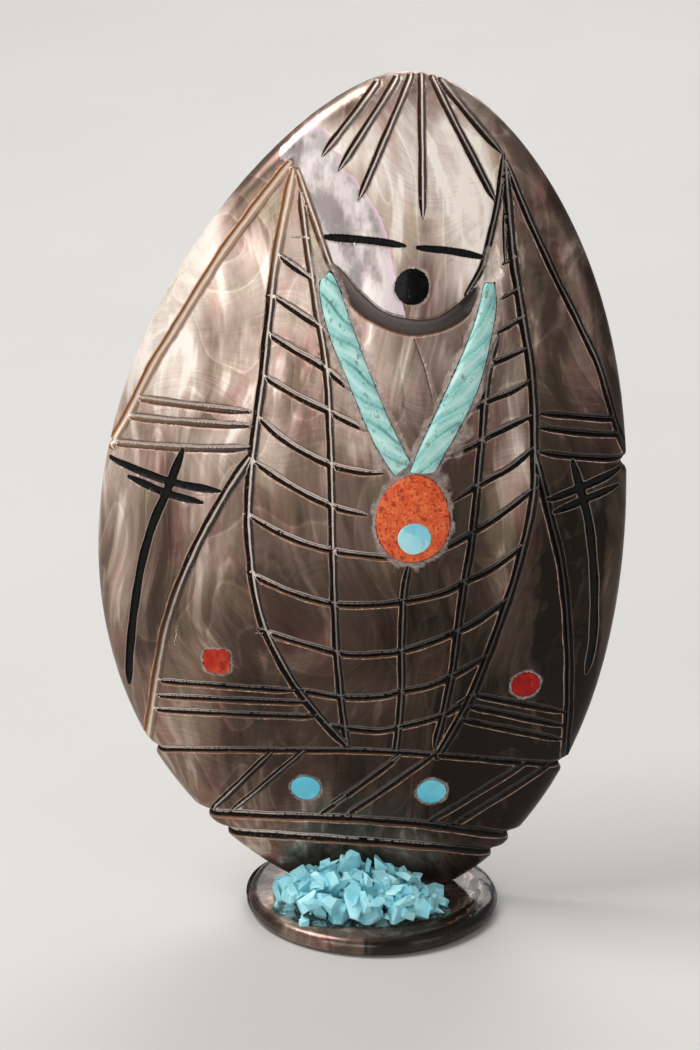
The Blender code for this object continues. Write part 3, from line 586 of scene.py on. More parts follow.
# %% Refine a ball near the cuts
FRONT_FINE, NICK_FINE, COARSE = 0.255, 0.35, 1.7
TOO_LONG, ROUNDS_OF_SPLITS = 1.35, 6


def rim_x_at(v, side):
    """Where the outline is at height v, on the left (-1) or right (1)."""
    angle = math.asin((v - EGG_V) / EGG_HALF_V)
    return float(outline(angle if side > 0 else math.pi - angle)[0])


# A nick shows in the rim wherever a line runs round the edge: side, height, size
nicks = [(side, v, rim_x_at(v, side), size) for side, v, size in
         ((-1, 18.6, 1.0), (1, 16.9, 1.0), (-1, 9.9, 1.1), (1, 6.8, 1.1), (-1, 7.4, 1.0), (1, 4.3, 1.0),
          (1, 56.1, 0.9), (-1, 57.8, 0.4))]


def slab_surface(ball):
    """Maps points of the unit ball to the uncut slab: x, v, depth y, and the side."""
    share = np.clip(np.hypot(ball[:, 0], ball[:, 2]), 0, 1)
    angle = np.arctan2(ball[:, 2], ball[:, 0])
    side = -ball[:, 1]
    far_x, far_v = outline(angle)
    x, v = EGG_X + share * (far_x - EGG_X), EGG_V + share * (far_v - EGG_V)
    inset = (1 - share) * np.hypot(far_x - EGG_X, far_v - EGG_V)
    edge = EDGE_LEFT + (EDGE_RIGHT - EDGE_LEFT) * (0.5 + 0.5 * np.cos(angle)) ** 2
    roll = 1 - np.sqrt(1 - np.clip(1 - inset / edge, 0, 1) ** 2)
    thick = RIM_THICK + (SLAB_THICK - RIM_THICK) * np.sin(np.clip(inset / (0.35 * EGG_HALF_X), 0, 1) * np.pi / 2)
    depth = np.where(side >= 0, roll * RIM_THICK / 2, thick - roll * RIM_THICK / 2)
    return x, v, bulge(x, v) + depth, side


def wanted_length(x, v, side):
    """How long an edge may be at each point."""
    wanted = np.full(len(x), COARSE)
    for path, width, *_ in cuts:
        near, far, _, _ = near_path(x, v, path, 1.8)
        away = np.clip((far - width.max() * 1.05) / 1.1, 0, 1)
        wanted[near] = np.minimum(wanted[near], FRONT_FINE + (COARSE - FRONT_FINE) * away)
    for shape, _ in pockets:
        near, far = inside_distance(x, v, shape, 1.8)
        away = np.clip((np.abs(far) - 0.25) / 1.2, 0, 1)
        wanted[near] = np.minimum(wanted[near], FRONT_FINE + (COARSE - FRONT_FINE) * away)
    wanted = np.where(side > -0.02, wanted, COARSE)
    for _, at_v, at_x, size in nicks:
        away = np.clip((np.hypot(x - at_x, v - at_v) - size * 1.3) / 1.5, 0, 1)
        wanted = np.minimum(wanted, NICK_FINE + (COARSE - NICK_FINE) * away)
    return wanted


bm = unit_ball(96, 44)
bmesh.ops.rotate(bm, verts=bm.verts, cent=(0, 0, 0), matrix=Matrix.Rotation(math.radians(90), 3, "X"))
bmesh.ops.triangulate(bm, faces=bm.faces)
for split_round in range(ROUNDS_OF_SPLITS):
    x, v, y, side = slab_surface(np.array([vert.co for vert in bm.verts]))
    wanted = wanted_length(x, v, side)
    ends = np.array([(e.verts[0].index, e.verts[1].index) for e in bm.edges])
    spot = np.stack([x, v, y], axis=1)
    length = np.linalg.norm(spot[ends[:, 0]] - spot[ends[:, 1]], axis=1)
    long = length > np.minimum(wanted[ends[:, 0]], wanted[ends[:, 1]]) * TOO_LONG
    if not long.any():
        break
    bm.edges.ensure_lookup_table()
    bmesh.ops.subdivide_edges(bm, edges=[bm.edges[i] for i in np.nonzero(long)[0]], cuts=1)
    bmesh.ops.triangulate(bm, faces=[f for f in bm.faces if len(f.verts) > 3])
    for vert in bm.verts:
        vert.co.normalize()
    bm.verts.index_update()
    print("round", split_round, "faces", len(bm.faces))

# %% [markdown]
# ## From ball to carved slab
# Now every point moves to its place: out to the egg outline, forward with the bulge, and
# then back into the shell where a cut, a pocket or a nick is. While we know how far each
# point is from each cut, we keep that as an attribute, so that the finish can follow it.

# %% Shape the slab
side_layer = bm.verts.layers.float.new("side")
x, v, y, side = slab_surface(np.array([vert.co for vert in bm.verts]))
for vert, where, s in zip(bm.verts, world(x, v, y), side):
    vert.co = where
    vert[side_layer] = s
slice_off(bm, (0, 0, SEAT), (0, 0, -1))
bmesh.ops.triangulate(bm, faces=[f for f in bm.faces if len(f.verts) > 3])
outward(bm)

spot = np.array([vert.co for vert in bm.verts])
side = np.array([vert[side_layer] for vert in bm.verts])
x, v, y = spot[:, 0] / STEP, (spot[:, 2] - SEAT) / STEP, spot[:, 1] * 1000
front = np.clip(side / 0.06, 0, 1)

# Points that are almost on a cut's middle or on its edge move onto it, so both stay crisp
NEAR_MIDDLE, NEAR_EDGE = 0.09, 0.075
moved = side < 0.05
for path, width, *_ in cuts:
    near, far, along, offset = near_path(x, v, path, width.max() + 0.2)
    half = np.interp(along, np.linspace(0, 1, len(width)), width)
    to_middle = (far < NEAR_MIDDLE) & ~moved[near]
    to_edge = (np.abs(far - half) < NEAR_EDGE) & (far > 0.12) & ~moved[near]
    shift = np.where(to_middle[:, None], -offset, 0.0)
    shift += np.where(to_edge[:, None], offset * ((half - far) / np.maximum(far, 0.01))[:, None], 0.0)
    x[near] += shift[:, 0]
    v[near] += shift[:, 1]
    moved[near] |= to_middle | to_edge

# How deep each point goes, and the masks that the finish will follow
FAR_OFF, POCKET_DEEP, SOCKET_DEEP = -1.5, 1.45, 0.5
ragged = (np.sin(7.1 * x + 3.3 * v) * np.sin(5.3 * v - 2.2 * x) + 0.6 * np.sin(13.7 * x - 9.1 * v)) * 0.012
blotch = np.sin(1.7 * x + 0.9 * v) * np.sin(1.3 * v - 1.1 * x + 0.5)
cut_mask, black_mask = np.full(len(x), FAR_OFF), np.full(len(x), FAR_OFF)
push, painted_light_side, amber_mask, level_mask, soft_mask = (np.zeros(len(x)) for _ in range(5))
for path, width, depth, black, honey, soft in cuts:
    near, far, along, offset = near_path(x, v, path, width.max() * 2.6 + 0.1)
    if not len(near):
        continue
    half = np.interp(along, np.linspace(0, 1, len(width)), width)
    inner = 1 - (far + ragged[near]) / half
    if black:
        black_mask[near] = np.maximum(black_mask[near], inner)
    else:
        best = inner > cut_mask[near]
        # The signed place across the cut, which decides on which side its painted light and shade fall
        flat = np.abs(offset[:, 1]) > 0.72 * far
        sign = np.where(np.where(flat, offset[:, 1], offset[:, 0]) > 0, 1.0, -1.0)
        painted_light_side[near[best]] = (sign * far / np.maximum(half, 0.05))[best]
        level_mask[near[best]] = (np.abs(offset[:, 1]) / np.maximum(far, 0.02))[best]
        soft_mask[near[best]] = soft
        amber_mask[near[best]] = np.interp(along, np.linspace(0, 1, len(honey)), honey)[best]
        cut_mask[near] = np.maximum(cut_mask[near], inner)
    into = np.clip(inner, 0, 1) if not black else np.clip(inner * 2.2, 0, 1)
    push[near] = np.maximum(push[near], into * half * depth)
glue_mask = np.zeros(len(x))
for shape, margin in pockets:
    near, far = inside_distance(x, v, shape, 1.4)
    push[near] = np.maximum(push[near], np.clip((-far - 0.04) / 0.12, 0, 1) * POCKET_DEEP)
    spread = margin * (1 + 0.45 * blotch[near] + 4 * ragged[near])
    glue_mask[near] = np.maximum(glue_mask[near], np.clip((spread - far) / 0.10, 0, 1))
for shape in smears:
    near, far = inside_distance(x, v, shape, 0.8)
    glue_mask[near] = np.maximum(glue_mask[near], np.clip((0.2 * blotch[near] + 3 * ragged[near] - far) / 0.25, 0, 0.8))
# A film of glue creeps up the slab above the chips
glue_mask = np.maximum(glue_mask, np.clip((3.4 - v - 0.24 * np.abs(x + 2) + 0.5 * blotch) / 1.4, 0, 0.55))
near, far = inside_distance(x, v, empty_socket, 1.4)
push[near] = np.maximum(push[near], np.clip(-far / 0.35, 0, 1) * SOCKET_DEEP)
glue_mask[near] = np.maximum(glue_mask[near], np.clip(0.5 - far / 0.3, 0, 1))
print("deepest cut", round(float(push.max()), 2), "mm")

# %% Push the cuts in and keep the masks
y = y + front * push + 0.035 * np.sin(0.31 * x + 0.17 * v) * np.sin(0.23 * v - 0.4)
NICK_REACH, NICK_DEEP = 2.2, 0.9
x_new = x.copy()
for which, at_v, at_x, size in nicks:
    closeness = np.clip(1 - np.abs(v - at_v + 0.1 * (x - at_x) * which) / size, 0, 1)
    rimward = np.clip(1 - np.abs(x - at_x) / NICK_REACH, 0, 1) * (x * which > 0)
    x_new -= which * closeness * rimward * size * NICK_DEEP
at_foot = spot[:, 2] < SEAT + 1e-6
for vert, where, fixed in zip(bm.verts, world(x_new, v, y), at_foot):
    vert.co = (where[0], where[1], vert.co.z if fixed else where[2])


def rise(value, low, high):
    """A smooth step for arrays."""
    t = np.clip((value - low) / (high - low), 0, 1)
    return t * t * (3 - 2 * t)


def zone(at_x, at_v, half_x, half_v):
    """A soft round zone, 1 at its middle."""
    return np.exp(-((x - at_x) / half_x) ** 2 - ((v - at_v) / half_v) ** 2)


# How dark the shell is, partly its own tone and partly painted light and shade: pale at the crown
# and the left robe, dark at the lower right. Soft patches lie over that, also partly painted light and shade: how much
# darker or paler, then x, v, half width and half height
CROWN_AND_FACE = ((0.05, 13.5, 95, 3, 3), (-0.24, -8, 93.5, 4, 3.5), (-0.24, -8, 93.6, 2.6, 2.4), (0.1, 14, 93, 5, 5),
                  (-0.32, 9.4, 91.4, 3.7, 4.7), (-0.26, 9, 90.5, 5, 6), (-0.26, 3, 89, 10, 9), (0.1, -8, 88, 4, 4),
                  (0.3, -3.5, 87, 3.5, 4.5), (0.13, 2, 86, 3, 5.7), (0.1, 4.8, 84.6, 1, 1.6), (-0.2, 12, 84, 5, 6),
                  (-0.27, 9.4, 79.4, 4.1, 4), (-0.16, -10, 79, 4, 9), (0.16, 1.4, 78.6, 6.6, 4))
ROBES = ((-0.16, -21, 85, 4, 7), (0.38, -14.9, 84, 3.2, 5), (0.05, -17.5, 79, 4, 5), (0.12, -19.5, 77, 3, 5),
         (-0.32, -26, 75, 3.7, 7.4), (-0.2, -17, 75, 8, 12), (0.06, -21, 70, 5, 8), (-0.07, 21, 81, 3, 6),
         (-0.22, 16.3, 71, 3, 5.6), (0.16, 20, 70, 5, 8), (-0.37, 24, 70, 4.2, 8.2))
COB = ((0.24, -9.8, 70.3, 4, 5.8), (0.12, -10, 66, 4, 8), (-0.12, 14, 62, 4, 9), (-0.06, 4, 61, 4, 4),
       (-0.24, 16, 56, 4, 7), (-0.18, 15.4, 54.4, 2.7, 7), (-0.06, -2, 47, 5, 5), (-0.08, 13, 45, 3, 5),
       (-0.14, 14.3, 43, 2, 8), (0.16, 3, 33, 12, 22), (0.26, -14, 28, 4.4, 3.4), (0.14, 17, 28, 5, 4),
       (0.14, 14, 24, 12, 6))
ARMS = ((-0.14, -32, 50, 3, 12), (0.07, -24, 49, 4, 5), (-0.06, -29, 46, 4, 26), (-0.25, -19, 43, 5, 5.7),
        (0.12, -23, 40, 6, 12), (0.1, 28, 40, 8, 26), (0.34, 23.3, 35.3, 4.7, 11), (-0.1, -22, 34, 4, 4))
SKIRT = ((-0.1, -24, 22, 5, 8), (0.22, -8, 20, 9, 6), (0.15, 15, 17.8, 5, 3.6), (0.08, 0, 17, 24, 3),
         (0.14, 14, 12, 13, 10), (-0.1, -12.7, 7, 5, 3), (-0.1, -2, 7, 14, 4), (-0.24, 9.2, 7, 6.5, 3.5))
dark = 0.20 + 0.32 * rise(-v, -76, -34) + 0.46 * rise(x, -8, 25)
for change, *place in CROWN_AND_FACE + ROBES + COB + ARMS + SKIRT:
    dark += change * zone(*place)
dark = np.minimum(dark, 1.05)
# Paler layers with a sharp edge run down the right rim and the right of the cob
dark -= 0.32 * rise(x, 26.3, 26.9) * rise(v, 24, 36) * rise(-v, -56, -46)
dark -= 0.20 * rise(x, 11.5, 15.5) * rise(-x, -19, -17.5) * rise(v, 26, 36) * rise(-v, -70, -60)
# A darker layer of the left robe starts at a sharp upright edge
dark += 0.12 * rise(x, -20.7, -20.0) * rise(-x, 12.5, 13.5) * rise(v, 60, 64) * rise(-v, -79, -73)
# The left of the crown's rim is painted darker brown: painted shade that damps its sheen
rim_share = np.hypot(x - EGG_X, v - EGG_V) / rim_reach(x, v)
dark += 0.40 * rise(rim_share, 0.91, 0.95) * zone(-9.5, 93.5, 7.5, 6)
dark = np.maximum(dark + 0.03, 0.09)
# The back is an even middle brown
dark = np.where(side < -0.1, 0.50 + 0.12 * np.sin(v * 0.11) + 0.10 * rise(x, -20, 20), dark)

# The growth layer in the face: left of its edge the shell is silvery
edge_v, edge_x = np.array([(75.1, 2.7), (77.4, 2.1), (79.7, 1.4), (81.4, 1.0), (83.3, 0.6), (85.6, -0.1), (87.9, -1.7),
                           (90.2, -3.4), (90.7, -4.8), (92.4, -4.7), (92.9, -5.9), (94.4, -6.1), (95.7, -7.6)]).T
under_top = np.interp(x, [-12, -10.3, -9.4, -7.6], [92.6, 94.1, 95.0, 95.7]) - v
layer = np.minimum(np.interp(v, edge_v, edge_x) - x, under_top)
cheek = np.interp(v, [76, 80, 83, 87, 90.6, 93, 100], [-3, -5.6, -6.8, -8.5, -9.8, -14, -16])
chin = np.interp(x, [-6, -3.9, -0.3, 3.5, 7.1, 10], [80, 76.8, 74.2, 73.4, 74.2, 77])
in_face = (side > 0) * rise(x - cheek, 0, 0.5) * rise(v - chin, 0, 0.5)
layer = np.where(in_face > 0.02, layer, FAR_OFF * 2)
masks = {"painted_light_side": np.clip(painted_light_side, -1.5, 1.5) * front, "level": np.clip(level_mask, 0, 1), "soft": soft_mask,
         "cut": cut_mask * front + FAR_OFF * (1 - front), "black": black_mask * front + FAR_OFF * (1 - front),
         "glue": glue_mask * front, "dark": dark, "amber": np.clip(amber_mask, 0, 1),
         "layer": np.clip(layer, -3, 3), "pit": np.clip(push - 0.9, 0, 1) * front}
print("faces", len(bm.faces), "x", round(x_new.min(), 2), round(x_new.max(), 2))

# %% [markdown]
# ## The shell's finish
# One material paints the whole slab: pearl, its tone partly painted light and shade, then what
# the carver did to it. A painted highlight runs along the lips of the cuts, their walls are
# painted black on one side and bright on the other as painted shade and light, or tan with a
# painted highlight along some of them, the strokes of the eyes and crosses are filled with black,
# and clear glue greys the rims of the pockets, with painted glints. The polish is glossy, and the
# cuts are rougher.

# %% Material: carved shell
shell, p = surface("carved_black_lip_shell", 0.25, 0.12, coat=0.05)
tone_and_painted_shade_here, cut_here, wall_here = p.mask("dark"), p.mask("cut"), p.mask("painted_light_side")
glue_here, black_here = p.mask("glue"), p.mask("black")
pearl = p.pearl(p.where, tone_and_painted_shade_here, p.fade(tone_and_painted_shade_here, 0.12, 0.42, 0.48, 0.85))
p.colour = pearl["Colour"]

# The growth layer in the face, and the thin rosy seam along its edge
layer_here = p.plus(p.mask("layer"), p.part(p.noise(0.9, 2.0), 0.5, -0.25))
cloudy = p.fade(p.noise(1.0, 4.0, 0.6, 0.0, (0.34, 0.34, 0.15), (0.0, -0.5, 0.0)), 0.40, 0.60)
p.lay(p.blend(cloudy, (0.23, 0.23, 0.25), (0.84, 0.79, 0.81)), p.fade(layer_here, 0.0, 0.12), 0.60)
p.lay((0.80, 0.58, 0.68), p.fade(layer_here, 0.9, 0.05), p.fade(layer_here, -0.06, 0.05), 0.8)
print("nodes so far:", len(p.tree.nodes))

# %% Look of the cuts
# Painted light and shade: one wall is painted lit and the other painted dark, so a ramp runs across each cut
PAINTED_SHADE_WALL, PAINTED_HIGHLIGHT, HAIRLINE = (0.006, 0.004, 0.003), (0.92, 0.78, 0.70), (0.045, 0.032, 0.027)
lip_noise = p.noise(0.8, 3.0, 0.6)
across_cut = p.part(lip_noise, 0.12, p.part(wall_here, 0.5, 0.44))
across_level = p.part(p.fade(tone_and_painted_shade_here, 0.62, 0.18), 0.24, p.plus(across_cut, -0.12))
upright = p.ramp(across_cut, (0.0, (0.50, 0.30, 0.21)), (0.07, PAINTED_SHADE_WALL), (0.42, (0.012, 0.006, 0.004)),
                 (0.49, PAINTED_HIGHLIGHT), (0.61, PAINTED_HIGHLIGHT), (0.68, (0.040, 0.033, 0.030)), (0.93, (0.030, 0.024, 0.022)),
                 (1.0, HAIRLINE))
flat = p.ramp(across_level, (0.0, (0.30, 0.14, 0.07)), (0.09, PAINTED_SHADE_WALL), (0.52, (0.012, 0.008, 0.007)),
              (0.62, (0.13, 0.10, 0.095)), (0.74, PAINTED_HIGHLIGHT), (0.92, (0.75, 0.60, 0.54)), (1.0, HAIRLINE))
# Tan walls with a painted highlight across their middle and painted shade at their sides
honey = p.ramp(across_cut, (0.0, (0.62, 0.36, 0.17)), (0.10, (0.30, 0.105, 0.030)), (0.28, (0.46, 0.19, 0.065)),
               (0.39, (0.86, 0.68, 0.54)), (0.52, (1.0, 0.94, 0.89)), (0.63, (0.84, 0.68, 0.57)),
               (0.72, (0.42, 0.25, 0.15)), (0.88, (0.30, 0.19, 0.12)), (1.0, HAIRLINE))
# The chin's shallow scoop, painted as a shaded hollow: dark at its edges, lighter in the middle
scoop = p.ramp(across_cut, (0.0, (0.26, 0.12, 0.06)), (0.12, (0.055, 0.040, 0.034)), (0.5, (0.120, 0.098, 0.090)),
               (0.8, (0.175, 0.140, 0.125)), (0.93, (0.05, 0.036, 0.030)), (1.0, (0.02, 0.014, 0.012)))
floor_look = p.blend(p.fade(p.mask("level"), 0.60, 0.80), upright, flat)
floor_look = p.blend(p.fade(p.noise(3.2, 2.0, 0.6), 0.63, 0.70, 0.0, 0.6), floor_look, (0.34, 0.28, 0.25))
floor_look = p.blend(p.mask("amber"), floor_look, honey)
floor_look = p.blend(p.mask("soft"), floor_look, scoop)
# Painted shade: the cut walls are dimmed towards the right and where the shell is painted darker
painted_dimming = p.times(p.fade(p.split()["X"], 2.0, 12.0, 1.0, 0.32), p.fade(tone_and_painted_shade_here, 0.74, 0.42, 0.25, 1.0))
floor_look = p.blend(1.0, floor_look, painted_dimming, "MULTIPLY")
# Painted highlight along the lips of the cuts, bright on the lit side and dark on the other
painted_lip_light = p.blend(p.fade(wall_here, -0.3, 0.3), (0.62, 0.40, 0.29), (0.12, 0.085, 0.070))
p.lay(painted_lip_light, p.fade(cut_here, -0.26, -0.10), p.fade(cut_here, 0.04, -0.04),
      p.fade(lip_noise, 0.32, 0.62, 0.25, 0.85))
p.lay(floor_look, p.fade(cut_here, 0.0, 0.10))
print("nodes with the cuts:", len(p.tree.nodes))

# %% Look of the glue and of the black strokes
cloudy = p.fade(p.noise(1.5, 4.0, 0.7), 0.35, 0.70)
p.lay(p.blend(cloudy, (0.29, 0.22, 0.195), (0.64, 0.55, 0.51)), glue_here, 0.58)
# Painted glints in the glue
p.lay((0.75, 0.71, 0.68), p.fade(p.noise(4.0, 2.0, 0.6), 0.66, 0.72), glue_here)
# Painted shade in the deepest gaps of the pockets
p.lay((0.13, 0.10, 0.09), p.fade(p.mask("pit"), 0.0, 0.3))
stroke = p.fade(black_here, -0.02, 0.08)
# A painted highlight along the lips of the black strokes
p.lay((0.50, 0.38, 0.32), p.fade(black_here, -0.32, -0.08), p.fade(black_here, 0.04, -0.04), 0.5)
p.lay((0.004, 0.004, 0.004), stroke)
p.feed("Base Color", p.colour)

# Gloss: the polished face is pearly, the cuts are rougher, glue and black fill aren't metallic
rough = p.part(p.noise(0.35), 0.05, p.fade(cut_here, -0.05, 0.2, 0.27, 0.40))
p.feed("Roughness", p.plus(rough, p.fade(tone_and_painted_shade_here, 0.40, 0.15, 0.0, 0.14)))
p.feed("Metallic", p.times(p.fade(cut_here, 0.1, -0.1, 0.05, 0.72), p.fade(glue_here, 0.6, 0.2),
                           p.fade(tone_and_painted_shade_here, 0.08, 0.30, 0.35, 1.0), p.fade(black_here, 0.05, -0.1)))
chatter = p.part(p.noise(5.0, 2.0, 0.6), stroke, p.times(p.noise(4.0, 3.0, 0.7), p.fade(cut_here, 0.0, 0.4)))
p.bump(chatter, 0.45, 0.0002, under=p.bump(pearl["Height"], 0.10, 0.00005))

slab = finished(bm, "carved_slab", shell, ["shell_slab"], sharp=32)
for name, values in masks.items():
    slab.data.attributes.new(name, "FLOAT", "POINT").data.foreach_set("value", values.astype(np.float32))

# %% [markdown]
# ## The base
# The base is a round offcut of the same shell, with the growth layers of the shell's lip
# along its right side. A flattened ball again gives a closed disc; its rim is rolled over,
# and low steps follow the growth layers.

# %% Round base
base_mid = (base_low + base_high) / 2
base_half = (base_high - base_low) / 2
BASE_ROLL, BASE_FULL = 0.0012, 0.993
LIP_DROP, LAYER_STEP, LEFT_DROP = 0.00018, 0.00012, 0.0022


def base_mesh():
    """A low round disc with a rolled rim and layered steps at the right."""
    bm = unit_ball(144, 72)
    for vert in bm.verts:
        share = min(1.0, math.hypot(vert.co.x, vert.co.y))
        angle = math.atan2(vert.co.y, vert.co.x)
        wave = 0.004 * math.sin(3 * angle + 0.7) + 0.003 * math.sin(5 * angle + 2.0)
        inset = (1 - share) * base_half.x
        roll = 1 - math.sqrt(max(0.0, 1 - max(0.0, 1 - inset / BASE_ROLL) ** 2))
        reach = (BASE_FULL + wave) * share
        x, y = base_half.x * reach * math.cos(angle), base_half.y * reach * math.sin(angle)
        z = base_half.z * (1 - roll)
        if vert.co.z > 0:
            rightward = max(0.0, math.cos(angle - 0.25)) ** 2 * min(1.0, max(0.0, share - 0.62) / 0.2)
            layers = math.sin(share * 34 + 1.3 * math.sin(4 * angle) + 0.8 * math.sin(9 * angle))
            z -= rightward * (LIP_DROP + LAYER_STEP * max(0.0, layers))
            leftward = max(0.0, math.cos(angle - 2.95)) ** 6 * max(0.0, share - 0.72)
            z -= leftward * LEFT_DROP
        vert.co = (base_mid.x + x, base_mid.y + y, base_mid.z + math.copysign(z, vert.co.z))
    return bm


print("base", [round(c * 1000, 1) for c in base_high - base_low], "mm")

# %% Material: base
base_look, p = surface("base_shell", 0.2, 0.3, coat=0.12, coat_rough=0.06)
across, deep, high = p.split()
radius = p.math("SQRT", p.part(across, across, p.times(deep, deep)))
# Painted shade: the side wall is painted near black, but for one paler facet at the front left with an upright end, a
# painted sheen
low_side = p.fade(high, 2.5, 1.9)
painted_facet_sheen = p.times(p.fade(across, -11.5, -10.0), p.fade(across, -0.6, -1.0), p.fade(deep, -6.0, -8.0), low_side)
shade = p.part(low_side, 0.50, p.fade(across, -12.0, 13.0, 0.34, 0.64))
pearl = p.pearl(p.stretched((1.0, 1.6, 1.6)), p.part(painted_facet_sheen, -0.40, shade), 0.55)
p.colour = pearl["Colour"]
# The growth layers of the shell's lip show at the right, and the rim beyond them is dark, partly the lip's own black
# and partly painted shade
ripple = p.part(p.noise(0.18), 6.0, radius)
rings = p.part(p.math("SINE", p.times(ripple, 3.4)), 0.5, 0.5)
lip_side = p.times(p.fade(across, 3.0, 11.0), p.fade(radius, 10.5, 13.0))
p.lay(p.ramp(rings, (0.0, (0.010, 0.008, 0.007)), (0.45, (0.050, 0.030, 0.020)), (0.62, (0.20, 0.11, 0.065)),
             (0.8, (0.34, 0.26, 0.215)), (1.0, (0.10, 0.075, 0.06))), lip_side)
p.lay((0.020, 0.015, 0.013), p.fade(across, 1.0, 8.0), p.fade(radius, 13.0, 14.2))
p.feed("Base Color", p.colour)
p.shader.inputs["Metallic"].default_value = 0.45
p.bump(p.part(rings, lip_side, p.times(pearl["Height"], 0.1)), 0.3, 0.0002)
p.feed("Roughness", p.fade(p.noise(0.6), 0.3, 0.7, 0.14, 0.30))
finished(base_mesh(), "round_base", base_look, ["shell_base"], sharp=60)

# %% [markdown]
# ## Rounds of stone and shell
# The lapidary grinds each round to its pocket, glues it in and polishes it with the slab,
# so its face follows the slab's bulge. One function makes them all: a flattened ball whose
# front is nearly flush and softly domed, and whose back reaches into the pocket.

# %% Shape of the rounds


def round_inlay(shape, proud=0.06, dome=0.10, deep=1.15, edge=0.10):
    """A round that fills an outline: domed in front, flat behind."""
    middle = shape.mean(0)
    offset = shape - middle
    around = np.arctan2(offset[:, 1], offset[:, 0])
    order = np.argsort(around)
    bm = unit_ball(72, 40)
    for vert in bm.verts:
        share, angle = min(1.0, math.hypot(vert.co.x, vert.co.y)), math.atan2(vert.co.y, vert.co.x)
        reach = np.interp(angle, around[order], np.hypot(*offset[order].T), period=2 * math.pi)
        x, v = middle + share * reach * np.array([math.cos(angle), math.sin(angle)])
        near = max(0.0, 1 - (1 - share) * reach / edge)
        y = bulge(x, v) - proud - dome * (1 - share ** 2) + (1 - math.sqrt(1 - near ** 2)) * edge
        if vert.co.z < 0:
            y = bulge(x, v) + deep * min(1.0, -vert.co.z / 0.15)
        vert.co = world(x, v, y)
    return outward(bm)


print("rounds to make:", list(ROUNDS))

# %% [markdown]
# ## The rounds' finishes
# Jet is black and glassy with tiny pits, and its pale spots are painted glints. Coral has paler patches. The pendant is
# orange spiny-oyster shell, speckled with dark red and with pale pores. The turquoise dots are
# clear blue and slightly clouded.

# %% Materials of the rounds


def speckled(name, base, patch, speck, pore_and_glint, scale, roughness, coat=0.15, shine=0.35):
    """A polished stone: a body colour with soft patches, dark specks and pale porous spots, which on jet are painted
    glints.
    """
    look, p = surface(name, roughness, shine, coat=coat, coat_rough=0.06)
    p.colour = p.blend(p.fade(p.noise(scale * 0.35), 0.35, 0.68), base, patch)
    dots = p.fade(p.noise(scale, 3.0, 0.6), 0.52, 0.62)
    pores_and_glints = p.fade(p.noise(scale, 3.0, 0.6, stretch=(1.3, 1.3, 1.3)), 0.64, 0.74)
    p.lay(speck, dots, 0.75)
    p.lay(pore_and_glint, pores_and_glints, 0.7)
    p.feed("Base Color", p.colour)
    p.feed("Roughness", p.fade(dots, 0.0, 1.0, roughness, roughness + 0.12))
    p.bump(p.plus(dots, pores_and_glints), -0.35, 0.00012)
    return look


# Jet: its pale spots are painted glints
jet = speckled("jet", (0.003, 0.003, 0.003), (0.005, 0.005, 0.005), (0.001, 0.001, 0.001), (0.12, 0.12, 0.11),
               1.7, 0.12, 0.0, shine=0.10)
coral = speckled("red_coral", (0.42, 0.018, 0.008), (0.62, 0.075, 0.034), (0.30, 0.010, 0.005),
                 (0.70, 0.24, 0.13), 0.9, 0.24, 0.05, 0.15)
deep_coral = speckled("deep_red_coral", (0.32, 0.006, 0.003), (0.42, 0.010, 0.005), (0.24, 0.004, 0.002),
                      (0.52, 0.06, 0.03), 0.9, 0.24, 0.05, 0.12)
orange = speckled("spiny_oyster", (0.70, 0.092, 0.024), (0.84, 0.180, 0.055), (0.28, 0.012, 0.005),
                  (0.98, 0.62, 0.45), 2.6, 0.28, 0.08, 0.2)
dot_blue = speckled("turquoise_dot", (0.12, 0.56, 0.73), (0.20, 0.67, 0.81), (0.14, 0.54, 0.68),
                    (0.34, 0.76, 0.86), 0.7, 0.20)
pale_dot = speckled("pale_turquoise_dot", (0.17, 0.60, 0.72), (0.42, 0.80, 0.87), (0.16, 0.55, 0.68),
                    (0.6, 0.86, 0.9), 0.55, 0.22)
print("finishes made: jet, two corals, orange shell and two turquoises")

# %% Make the rounds
FINISHES = {"pendant": (orange, "spiny_oyster"), "pendant_dot": (pale_dot, "turquoise_dot"), "mouth": (jet, "jet"),
            "coral_dot_left": (coral, "coral"), "coral_dot_right": (deep_coral, "coral"),
            "skirt_dot_left": (dot_blue, "turquoise_dot"), "skirt_dot_right": (dot_blue, "turquoise_dot")}
FORMS = {"pendant": {"proud": 0.10, "dome": 0.22, "edge": 0.25},
         "pendant_dot": {"proud": 0.36, "dome": 0.08, "deep": 0.5}}
for name, shape in ROUNDS.items():
    look, slot = FINISHES[name]
    finished(round_inlay(shape, **FORMS.get(name, {})), name + "_stone", look, [name], sharp=50)

# %% [markdown]
# ## The necklace
# Each strand is one long piece of pale turquoise, filed with slanting cuts so that it looks
# twisted. A strip is laid between the pocket's two edges, crowned across its width, and
# stepped like a saw along slanting lines; solidify then gives it its depth.

# %% Necklace strands
TWIST_PITCH, TWIST_RUN, TWIST_HIGH = 3.7, 4.6, 0.55
ROWS, ACROSS, STRAND_THICK = 240, 26, 0.0011


